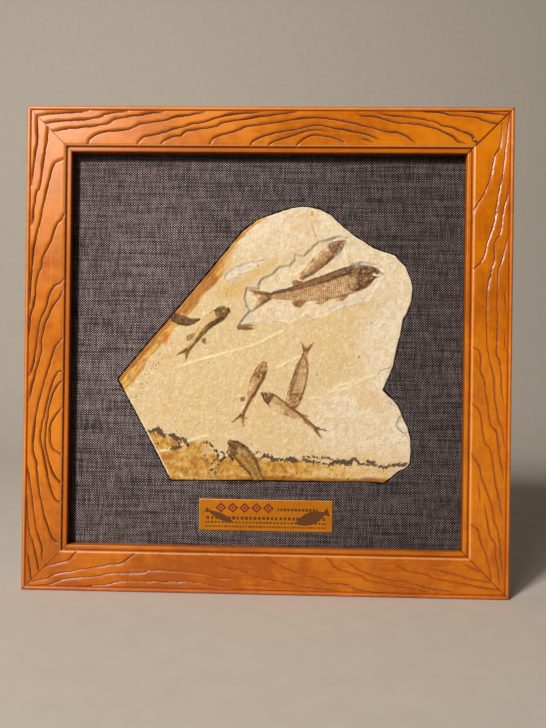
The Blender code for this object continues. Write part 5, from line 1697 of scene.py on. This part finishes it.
@dataclass
class FossilSlab:
    """The stone: a face of concentric rings with its relief and painted marks, broken sides, a flat back.

    A side step is its share of the way to the back, and how far it stands out, in chamfers.
    """

    face: float
    back: float
    cells: int = 286
    chamfer_mm: float = 0.7
    pit_mm: float = 0.9
    ledge_mm: float = 0.45
    crease_mm: float = 0.36
    hub_mm: tuple[float, float] = (0.0, 175.0)
    side_steps: tuple[tuple[float, float], ...] = (
        (0.03, 0.55), (0.09, 0.9), (0.2, 1.15), (0.38, 1.3), (0.58, 1.4), (0.8, 1.1), (1.0, 0.6))

    def rim(self) -> Array:
        """The face's edge: the outline, counter-clockwise from its rightmost side, nibbled by noise.

        Returns:
            Points (x, z) in millimetres.
        """
        count = 4 * self.cells
        ring = even_outline(np.array(SLAB_OUTLINE_MM)[::-1], count)
        start = np.argmin(np.abs(np.arctan2(ring[:, 1] - self.hub_mm[1], ring[:, 0] - self.hub_mm[0])))
        ring = np.roll(ring, -start, axis=0)
        for _ in range(3):
            ring = (np.roll(ring, 1, axis=0) + 2 * ring + np.roll(ring, -1, axis=0)) / 4
        x, z = ring.T
        sawn = ease(-x - 0.25 * (z - 100.0), 0.0, 12.0)
        nibble = 0.50 * (1.0 - 0.75 * sawn) * rough_noise(x, z, 5.5, 17, 4)
        return grown_outline(ring, nibble - self.chamfer_mm)

    def face_places(self, rim: Array) -> Array:
        """Face points as scaled copies of the rim: the larger of |u| and |v| is the scale, and the place
        round the unit square picks the point of the rim.

        Args:
            rim: The face's edge.

        Returns:
            (x, z) of a square grid of points, in millimetres.
        """
        line = np.linspace(-1.0, 1.0, self.cells + 1)
        u, v = np.meshgrid(line, line)
        scale = np.maximum(np.abs(u), np.abs(v))
        safe_u, safe_v = np.where(u == 0, 1e-9, u), np.where(v == 0, 1e-9, v)
        wide = np.abs(u) >= np.abs(v)
        turn = np.where(wide & (u > 0), v / safe_u, np.where(wide, 4 + v / safe_u, 0.0))
        turn = np.where(~wide & (v > 0), 2 - u / safe_v, np.where(~wide, 6 - u / safe_v, turn))
        place_round = np.mod(turn / 8.0, 1.0) * len(rim)
        closed = np.vstack([rim, rim[:1]])
        steps = np.arange(len(closed))
        hub = np.array(self.hub_mm)
        reach = np.stack([np.interp(place_round, steps, closed[:, k]) for k in (0, 1)], axis=-1) - hub
        return hub + reach * scale[..., None]

    def relief(self, x: Array, z: Array, body: Array) -> Array:
        """Height of the face in millimetres: slow swells and grain, less the pit and ledges, plus creases
        and fish.

        Args:
            x: Places across.
            z: Places up.
            body: Height of the fish alone.

        Returns:
            One height for each place.
        """
        height = 0.12 * np.sin(0.061 * x + 0.4) * np.cos(0.047 * z) + 0.08 * np.sin(0.11 * x - 0.09 * z)
        height += 0.10 * rough_noise(x, z, 9.0, 23, 5)
        flake = rough_noise(x, z, 16.0, 29, 4)
        height += 0.10 * ease(flake, 0.18, 0.22) - 0.08 * ease(flake, -0.24, -0.28)
        ragged = 0.7 * rough_noise(x, z, 4.0, 37, 3)
        pit = to_outline(x, z, PIT_MM) + ragged
        floor = 0.26 * rough_noise(x, z, 3.2, 43, 4) + 0.14 * value_noise(x + z, z * 0.3, 1.6, 47)
        height += ease(pit, 0.0, -0.9) * (floor - self.pit_mm)
        height += 0.14 * ridge(pit, 0.7, 0.8)
        for outline in (UPPER_LEDGE_MM, SIDE_CHIP_MM):
            height -= self.ledge_mm * ease(to_outline(x, z, outline) + ragged, 0.0, -0.8)
        for crease, share in zip(CREASES_MM, CREASE_SHARE):
            distance, along, hand = to_track(x + 0.5 * ragged, z + 0.5 * ragged, curve(crease, 2.0))
            step = share * (0.7 + 0.3 * value_noise(along, along * 0, 9.0, 53))
            width = np.where(hand > 0, 2.2, 0.7)
            height += self.crease_mm * step * np.maximum(0.0, 1.0 - distance / width)
        return height + body

    def build(self, stone: Material) -> Piece:
        """Make the stone.

        Args:
            stone: Its finish.

        Returns:
            The piece.
        """
        rim = self.rim()
        places = self.face_places(rim).reshape(-1, 2)
        sides = []
        for depth, growth in self.side_steps:
            nibble = 0.25 * rough_noise(rim[:, 0] + 40 * depth, rim[:, 1], 4.0, 61, 3)
            sides.append(grown_outline(rim, growth * self.chamfer_mm + nibble))
        x, z = np.vstack([places] + sides).T
        marks = StoneMarks(x, z)
        height = self.relief(x, z, marks.body)
        y = self.face - height * MM
        count = self.cells + 1
        border = self._border(count)
        first = len(places)
        edge_y = y[border]
        for number, (depth, _) in enumerate(self.side_steps):
            run = slice(first + number * len(rim), first + (number + 1) * len(rim))
            y[run] = edge_y + (self.back - edge_y) * depth
        rings = np.vstack([border[None, :],
                           first + np.arange(len(self.side_steps) * len(rim)).reshape(-1, len(rim))])
        columns = np.arange(len(rim))
        after = (columns + 1) % len(rim)
        walls = joined(rings[:-1][:, columns], rings[:-1][:, after], rings[1:][:, after],
                       rings[1:][:, columns]).reshape(-1, 4)
        face_quads = grid_quads(count, count)
        values = marks.values()
        rind = np.minimum(-to_outline(x, z, rim[::6]), 9.0)
        cut = ease(150.0 - z + 0.3 * (x + 60.0), 0.0, 20.0)
        clean = np.maximum((x < 20.0) * (1.0 - cut), np.maximum(z > 262.0, z < 84.0) * 1.0)
        rind += 1.2 * clean
        rind[first:] = np.where(clean[first:] > 0.5, 3.0, -1.0)
        values["edges"] = joined(rind, values.pop("specks"), marks.grey)
        surface = Surface(joined(x * MM, y, z * MM), np.vstack([face_quads, walls[:, ::-1]]),
                          caps=[rings[-1].tolist()[::-1]], values=values)
        surface.face_outwards()
        return place(surface.to_object("stone_slab", stone, 60.0), "limestone", "fossil_slab")

    def _border(self, count: int) -> Array:
        """Numbers of the grid's border points, in the order of the rim.

        Args:
            count: Points along one side of the grid.

        Returns:
            The numbers.
        """
        number = np.arange(count * count).reshape(count, count)
        half = (count - 1) // 2
        right, top = number[:, -1], number[-1, ::-1]
        left, bottom = number[::-1, 0], number[0, :]
        return np.concatenate([right[half:-1], top[:-1], left[:-1], bottom[:-1], right[:half]])


class StoneMarks:
    """Everything that colours the stone, worked out at places (x, z) in millimetres."""

    def __init__(self, x: Array, z: Array) -> None:
        """Work out the fields once.

        Args:
            x: Places across.
            z: Places up.
        """
        self.x, self.z = x, z
        self.wander = 1.2 * rough_noise(x, z, 6.0, 101, 4)
        self._paint_fish()
        self._paint_pit()
        self._paint_band()

    def _paint_fish(self) -> None:
        """Keep, at each place, the values of the fish whose silhouette is nearest."""
        nearest = np.full(self.x.shape, 1e3)
        names = ("dark", "along", "across", "rib", "gleam")
        kept = {name: np.zeros(self.x.shape) for name in names}
        self.olive, self.body = np.zeros(self.x.shape), np.zeros(self.x.shape)
        for fish in FISH.values():
            painted = fish.paint(self.x, self.z)
            closer = painted["gap"] < nearest
            for name in names:
                kept[name] = np.where(closer, painted[name], kept[name])
            self.olive = np.where(closer, fish.olive, self.olive)
            nearest = np.minimum(nearest, painted["gap"])
            self.body = np.maximum(self.body, painted["height"])
        self.gap = np.clip(nearest, -12.0, 12.0)
        self.kept = kept

    def _paint_pit(self) -> None:
        """The painted shadow line and painted grey shade under the pit's upper edge, pale powder inside the
        pit's border, grey smudges, and the pale pit and ledges.
        """
        pit = to_outline(self.x, self.z, PIT_MM)
        self.pit = ease(pit + 0.4 * self.wander, 0.3, -0.8)
        upper = self._to_tracks(PIT_SHADOW_MM, 1.5)
        patchy = ease(rough_noise(self.x, self.z, 9.0, 113, 2), -0.5, 0.3)
        thin = 0.35 + 0.35 * ease(rough_noise(self.x, self.z, 5.0, 117, 2), -0.5, 0.6)
        near_upper = ease(upper, 3.5, 1.5)
        margin = ease(pit, -4.2, -1.2) * ease(pit, 0.5, -0.4)
        margin *= ease(rough_noise(self.x, self.z, 7.0, 119, 3), -0.45, 0.35)
        # painted shade in grey along the pit's upper edges, then pale powder inside the border and grey
        # smudges
        shades = [0.55 * ridge(upper, 0.0, 1.8) * patchy, 0.95 * margin]
        self.pit_shade_and_powder = np.max(shades + [self._area(smudge, 1.0) for smudge in SMUDGES_MM], axis=0)
        ledge = np.minimum(to_outline(self.x, self.z, UPPER_LEDGE_MM),
                           to_outline(self.x, self.z, SIDE_CHIP_MM)) + 0.3 * self.wander
        self.grey = ease(ledge, 0.4, -0.6)
        # painted shadow: the pit's outline is full and dark along its upper edges, faint and broken elsewhere
        drawn = np.maximum(thin * near_upper, 0.40 * (1 - near_upper) * patchy)
        closer = np.abs(ledge) < np.abs(pit)
        self.pit_wall = np.clip(np.where(closer, ledge, pit), -9.0, 9.0)
        self.pit_outline_and_shadow = np.where(closer, 0.5 * (0.4 + 0.6 * patchy), drawn)

    def _paint_band(self) -> None:
        """The stained band inside the upper left edge, by place along that edge and distance from it."""
        x, z = self.x - BAND_FROM_MM[0], self.z - BAND_FROM_MM[1]
        along, inwards = x * BAND_WAY[0] + z * BAND_WAY[1], x * BAND_WAY[1] - z * BAND_WAY[0]
        stops = np.array(BAND_WIDTH_MM)
        width = np.interp(along, stops[:, 0], stops[:, 1]) + 0.8 * self.wander
        soft = 0.8 + 3.5 * ease(along, 100.0, 118.0)
        fades = ease(along, 140.0, 128.0) * (1.0 - 0.35 * ease(along, 104.0, 118.0))
        self.amber = fades * ease(width - inwards, -soft, soft) * (inwards > -6.0)
        rim = to_outline(self.x, self.z, SLAB_OUTLINE_MM)
        strip = ease(along, 126.0, 134.0) * ease(along, 163.0, 153.0) * (self.x < 5.0)
        self.amber = np.maximum(self.amber, strip * ease(rim + self.wander, -3.0, -1.2))
        spot = np.hypot(self.x - 32.0, (self.z - 274.0) * 0.6)
        self.amber = np.maximum(self.amber, 0.9 * ease(spot, 2.2, 0.4))
        patch = ease(along, 65.0, 69.0) * ease(along, 107.0, 100.0)
        outer = ease(inwards + self.wander, 4.2, 2.0)
        inner = patch * (0.75 + 0.45 * ease(along, 88.0, 100.0))
        self.rust = self.amber * np.clip(inner + 0.85 * outer * (1 - patch), 0.0, 1.2)
        self.rust *= ease(width - inwards, -0.5, 2.5)
        self.blotch = ridge(along + 0.8 * (inwards - 7.4), 45.0, 3.8) * ridge(inwards, 7.4, 3.2)
        trail = ridge(inwards + 0.08 * along + self.wander, 15.5, 3.4) * ease(along, 48.0, 34.0)
        self.specks = 0.42 * trail * (inwards > 9.0)

    def _to_tracks(self, tracks: list[Track], spacing: float) -> Array:
        """Distance to the nearest of several tracks."""
        return np.min([to_track(self.x, self.z, curve(track, spacing))[0] for track in tracks], axis=0)

    def _area(self, outline: Track, soft: float) -> Array:
        """1 inside an outline and 0 outside, over a soft and wandering border."""
        return ease(to_outline(self.x, self.z, outline) + self.wander, soft, -soft)

    def values(self) -> dict[str, Array]:
        """The painted values: shares of each stain, and signed distances to lines.

        Returns:
            Arrays by the names that the finish reads.
        """
        x, z = self.x, self.z
        rose = 0.75 * self._area(ROSE_MM, 9.0)
        mottle = ease(rough_noise(x, z, 7.0, 127), -0.2, 0.5)
        pale = np.maximum(self.pit, 0.6 * self._area(ROSE_MM, 16.0) * mottle)
        straw = 0.8 * np.maximum(self._area(YELLOW_MM[0], 3.0), 0.5 * self._area(YELLOW_MM[1], 1.2))
        straw = np.maximum(straw, 0.55 * self._area(BROWN_STAIN_MM, 4.0)) * (1 - self.grey)
        bottom = ease(z + 1.4 * self.wander, 85.5, 81.5) * ease(x, -30.0, -5.0)
        middle_x, middle_z, radius = FLAKE_DISC_MM
        from_disc = np.hypot(x - middle_x, z - middle_z) + 0.7 * self.wander
        chute = ridge(x, middle_x + 6.0, 4.5) * ease(z, middle_z - 3.0, middle_z - 9.0)
        pale_place = np.maximum(ease(from_disc, radius + 2.2, radius - 2.2), chute)
        ochre = self._area(OCHRE_MM, 1.8) * (1.0 - 0.52 * pale_place) + 0.8 * bottom
        inked = np.full(x.shape, -9.0)
        for strand in MANGANESE_MM:
            track = curve(strand, 1.2)
            distance, along, _ = to_track(x, z, track)
            inked = np.maximum(inked, np.interp(along, lengths_along(track), track[:, 2]) + 0.25 - distance)
        near_ink = ease(inked, -4.0, 0.0)
        specks = self.specks + 0.05 * np.clip(ochre, 0.0, 1.0) + 0.12 * near_ink
        dots = np.full(x.shape, -2.0)
        for dot_x, dot_z, size in DOTS_MM:
            dots = np.maximum(dots, 0.75 * size + 0.1 - np.hypot(x - dot_x, z - dot_z))
        red_dots = np.zeros(x.shape)
        for dot_x, dot_z, size in RED_DOTS_MM:
            red_dots = np.maximum(red_dots, ridge(np.hypot(x - dot_x, z - dot_z), 0.0, 1.1 * size))
        crack = ridge(self._to_tracks(CRACKS_MM, 1.0), 0.0, 0.5)
        crease = np.zeros(x.shape)
        for track, share in zip(CREASES_MM, CREASE_SHARE):
            distance, along, hand = to_track(x + 0.3 * self.wander, z + 0.3 * self.wander, curve(track, 2.0))
            step = share * (0.75 + 0.25 * value_noise(along, along * 0, 9.0, 53)) * ease(along, -2.0, 8.0)
            # pale vein with a painted highlight along each crease's crest; the negative part is painted shade
            # on its steep side
            crease += step * (1.2 * ridge(distance, 0.0, 1.05) - 0.5 * ridge(distance * hand, -1.5, 0.9))
        return {
            "zones": joined(rose, pale, straw), "stains": joined(ochre, self.rust, self.amber),
            "pit": joined(self.pit_wall, self.pit_outline_and_shadow, self.pit_shade_and_powder), "blotch": self.blotch,
            "fish": joined(self.gap, self.kept["dark"], self.olive), "gleam": self.kept["gleam"],
            "flank": joined(self.kept["along"], self.kept["across"], self.kept["rib"]), "specks": specks,
            "lines": joined(inked, crack, crease), "dots": joined(dots, red_dots, 0 * dots)}


# ---- name plate ----

@dataclass
class NamePlate:
    """The gold plate: a thin sheet with a rolled edge and plain printed ornament, no lettering."""

    low: Array
    high: Array
    step_mm: float = 0.3
    roll: float = 0.0003
    rule_rows_mm: tuple[float, ...] = (-2.1, -5.4, -8.3)
    rule_height_mm: tuple[float, ...] = (2.3, 1.5, 1.4)
    rule_half_mm: float = 44.0
    printed_fish: tuple[tuple[float, ...], ...] = (
        (-32.5, -1.2, 21.0, 2.5, -0.42, 1.0), (32.5, -1.5, 24.0, 4.7, 0.36, -1.0))
    lozenges: int = 5
    lozenge_from_mm: float = -36.8
    lozenge_pitch_mm: float = 8.6
    lozenge_middle_mm: float = 5.3
    lozenge_half_mm: float = 3.9

    def build(self, brass: Material) -> Piece:
        """A flat grid whose border rolls over to the back, closed by a plain rear face.

        Args:
            brass: The plate's finish.

        Returns:
            The plate.
        """
        width, height = (self.high[0] - self.low[0]) / MM, (self.high[2] - self.low[2]) / MM
        across = np.linspace(-width / 2, width / 2, round(width / self.step_mm) + 1)
        up = np.linspace(-height / 2, height / 2, round(height / self.step_mm) + 1)
        x, z = np.meshgrid(across, up)
        inset = np.minimum(width / 2 - np.abs(x), height / 2 - np.abs(z))
        fall = self.roll * np.clip(1.0 - inset / 0.5, 0.0, 1.0) ** 2
        bow = 0.00005 * rough_noise(x, z, 30.0, 151, 2)
        front = joined(x * MM, self.low[1] + fall + bow * (inset > 0.4), z * MM)
        rows, columns = x.shape
        number = np.arange(rows * columns).reshape(rows, columns)
        border = np.concatenate([number[0, :-1], number[:-1, -1], number[-1, :0:-1], number[:0:-1, 0]])
        behind = front.reshape(-1, 3)[border].copy()
        behind[:, 1] = self.high[1]
        points = np.vstack([front.reshape(-1, 3), behind])
        points[:, 0] += (self.low[0] + self.high[0]) / 2
        points[:, 2] += (self.low[2] + self.high[2]) / 2
        back = rows * columns + np.arange(len(border))
        after = np.roll(np.arange(len(border)), -1)
        walls = joined(border, back, back[after], border[after])
        ink, red = self.print_marks(x.ravel(), z.ravel())
        edge = np.clip(1.0 - inset.ravel() / 0.6, 0.0, 1.0)
        painted = np.vstack([joined(ink, red, edge), np.zeros((len(border), 3))])
        surface = Surface(points, np.vstack([grid_quads(rows, columns), walls]), caps=[back.tolist()],
                          values={"print": painted})
        surface.face_outwards()
        return place(surface.to_object("gold_plate", brass, 40.0), "gold_plate", "name_plate")

    def print_marks(self, x: Array, z: Array) -> tuple[Array, Array]:
        """Brown ink: rows of short dashes and a plain fish at each end; red ink: a row of lozenges.

        A fish is a lens, half width times one minus the squared share along it, with a wedge for its tail.
        Its numbers are its middle, its length, its half width, how it leans and which way it heads.

        Args:
            x: Places across from the plate's middle, in millimetres.
            z: Places up from the plate's middle, in millimetres.

        Returns:
            The brown and the red ink, from 0 to 1.
        """
        ink = np.zeros(x.shape)
        for row, (height, tall) in enumerate(zip(self.rule_rows_mm, self.rule_height_mm)):
            pitch = 3.1 - 0.6 * row
            cell = np.floor(x / pitch).astype(np.int64)
            length = 0.30 + 0.12 * lattice(cell, cell * 0 + row, 7)
            within = np.abs(x / pitch - cell - 0.5) < length
            dash = within * (np.abs(z - height) < tall / 2) * (np.abs(x) < self.rule_half_mm)
            ink = np.maximum(ink, 0.70 * dash)
        for middle_x, middle_z, length, half, lean, heading in self.printed_fish:
            cos, sin = math.cos(lean), math.sin(lean)
            u = ((x - middle_x) * cos + (z - middle_z) * sin) / (length / 2) * heading
            v = -(x - middle_x) * sin + (z - middle_z) * cos
            body = ease(half * (1 - np.clip(u, -1, 1) ** 2) - np.abs(v), -0.1, 0.3) * (np.abs(u) < 1)
            tail = ease(0.3 + 3.2 * (-u - 0.72) * half / 2 - np.abs(v), -0.1, 0.3) * (u < -0.72) * (u > -1.15)
            ink = np.maximum(ink, 0.95 * np.maximum(body, tail))
        row_place = (x - self.lozenge_from_mm) / self.lozenge_pitch_mm
        cell = np.floor(row_place)
        out = np.abs(row_place - cell - 0.5) * 2 + np.abs(z - self.lozenge_middle_mm) / self.lozenge_half_mm
        ring, core = (out < 0.95) & (out > 0.5), out < 0.28
        red = 1.0 * (ring | core) * (cell >= 0) * (cell < self.lozenges)
        line = (np.abs(z - 4.4) < 0.95) * (x > 8.4) * (x < 37.4) * (np.mod(x, 2.6) < 1.9)
        return np.maximum(ink, 0.8 * line), red


# ---- studio ----

@dataclass
class Studio:
    """Pale floor and curved backdrop, three lights, even air, and the camera.

    A light is its name, place, size, power and colour: a lamp up on the left, a small one beside it like a
    window, and a wide faint one in front.
    """

    floor_tint: Rgb = (199, 189, 174)
    floor_fleck: Rgb = (210, 201, 188)
    sweep_start: float = 0.55
    sweep_radius: float = 0.9
    lamps: tuple[tuple, ...] = (
        ("lamp", (-1.36, -1.70, 1.54), (0.4, 0.6), 67.0, (1.0, 0.97, 0.93)),
        ("window", (-0.84, -1.66, 1.0), (0.30, 0.30), 5.0, (1.0, 0.97, 0.98)),
        ("fill", (0.35, -1.7, 0.8), (1.8, 1.8), 0.25, (1.0, 0.97, 0.94)))
    target: tuple[float, float, float] = (0.0, 0.0, 0.175)
    camera_at: tuple[float, float, float] = (0.01515, -0.43972, 0.16435)
    camera_turn_deg: tuple[float, float, float] = (90.107, -0.745, 1.322)
    lens: float = 29.67

    def build(self) -> None:
        """Make the floor, the lights, the world and the camera."""
        self._floor()
        for lamp in self.lamps:
            self._lamp(*lamp)
        self._world()
        self._camera()
        bpy.context.scene.view_settings.view_transform = "Standard"

    def _floor(self) -> None:
        """A floor that curves up into a wall: a quarter circle carried sideways."""
        turn = np.linspace(0.0, math.pi / 2, 24)
        rise = self.sweep_start + self.sweep_radius * np.sin(turn)
        y = np.concatenate([[-3.0, 0.0], rise, rise[-1:]])
        z = np.concatenate([[0.0, 0.0], self.sweep_radius * (1 - np.cos(turn)), [3.0]])
        across = np.linspace(-3.0, 3.0, 9)
        points = np.stack(np.broadcast_arrays(across[None, :], y[:, None], z[:, None]), axis=-1)
        made, g, shader = new_material("studio_paper", self.floor_tint)
        colour = g.blend(g.noise(g.place(), 60.0, 4.0), self.floor_tint, self.floor_fleck)
        g.fill(shader, {"Base Color": colour, "Roughness": 0.9})
        floor = Surface(points.reshape(-1, 3), grid_quads(len(y), len(across))).to_object("floor", made)

    def _lamp(self, name: str, where: tuple, size: tuple[float, float], watts: float, colour: tuple) -> None:
        """A rectangular area light that looks at the object.

        Args:
            name: Its name.
            where: Its place.
            size: Its width and height.
            watts: Its power.
            colour: Its colour.
        """
        light = bpy.data.lights.new(name, "AREA")
        light.shape = "RECTANGLE"
        light.size, light.size_y = size
        light.energy = watts
        light.color = colour
        made = bpy.data.objects.new(name, light)
        made.location = where
        made.rotation_euler = (Vector(self.target) - Vector(where)).to_track_quat("-Z", "Y").to_euler()
        bpy.context.scene.collection.objects.link(made)

    def _world(self) -> None:
        """Even soft light from all round."""
        world = bpy.data.worlds.new("studio_air")
        world.use_nodes = True
        sky = world.node_tree.nodes["Background"]
        sky.inputs["Color"].default_value = (1.0, 0.97, 0.94, 1.0)
        sky.inputs["Strength"].default_value = 0.035
        bpy.context.scene.world = world

    def _camera(self) -> None:
        """The camera, close in front of the frame and a little below its middle."""
        lens = bpy.data.cameras.new("camera")
        lens.sensor_fit = "VERTICAL"
        lens.sensor_height = 36.0
        lens.lens = self.lens
        lens.clip_start = 0.01
        made = bpy.data.objects.new("camera", lens)
        made.location = self.camera_at
        made.rotation_euler = [math.radians(turn) for turn in self.camera_turn_deg]
        bpy.context.scene.collection.objects.link(made)
        bpy.context.scene.camera = made


# ---- the whole object ----

def dress(nodes: list[str], finish: Material) -> None:
    """Give solids that stay as they are a finish.

    Args:
        nodes: Names of the solids.
        finish: The finish.
    """
    for name in nodes:
        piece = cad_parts[name]
        piece.data.materials.clear()
        piece.data.materials.append(finish)
        log.info("%s: dressed", name)


def main() -> None:
    """Build every sub-assembly round the fixed solids, sized from their boxes."""
    logging.basicConfig(level=logging.INFO, format="%(name)s %(message)s")
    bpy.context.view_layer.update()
    effects = Effects()
    low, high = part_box("rail_top")
    carved = CarvedFrame(side=high.x - low.x, rail=high.z - low.z, depth=high.y - low.y, front=low.y)
    carved.build(LacqueredWood().build(effects))
    low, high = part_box("linen_cover")
    linen = LinenCover(half=(high.x - low.x) / 2, centre_z=(high.z + low.z) / 2, face=low.y)
    opening = carved.side / 2 - carved.rail
    cloth = HeatherLinen(opening_left=-opening, opening_top=linen.centre_z + opening)
    linen.build(np.array(SLAB_OUTLINE_MM)[::-1], cloth.build(effects))
    slab_face = low.y - MM
    low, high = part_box("fossil_slab")
    FossilSlab(face=slab_face, back=high.y).build(FossilStone().build(effects))
    low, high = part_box("name_plate")
    NamePlate(low=np.array(low), high=np.array(high)).build(PrintedBrass().build(effects))
    dress(["mat_board", "backing_board"], Fibreboard().build(effects))
    steel = [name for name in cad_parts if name.startswith(("point_", "hanger_"))]
    dress(steel, ZincSteel().build(effects))
    Studio().build()


if __name__ == "__main__":
    main()
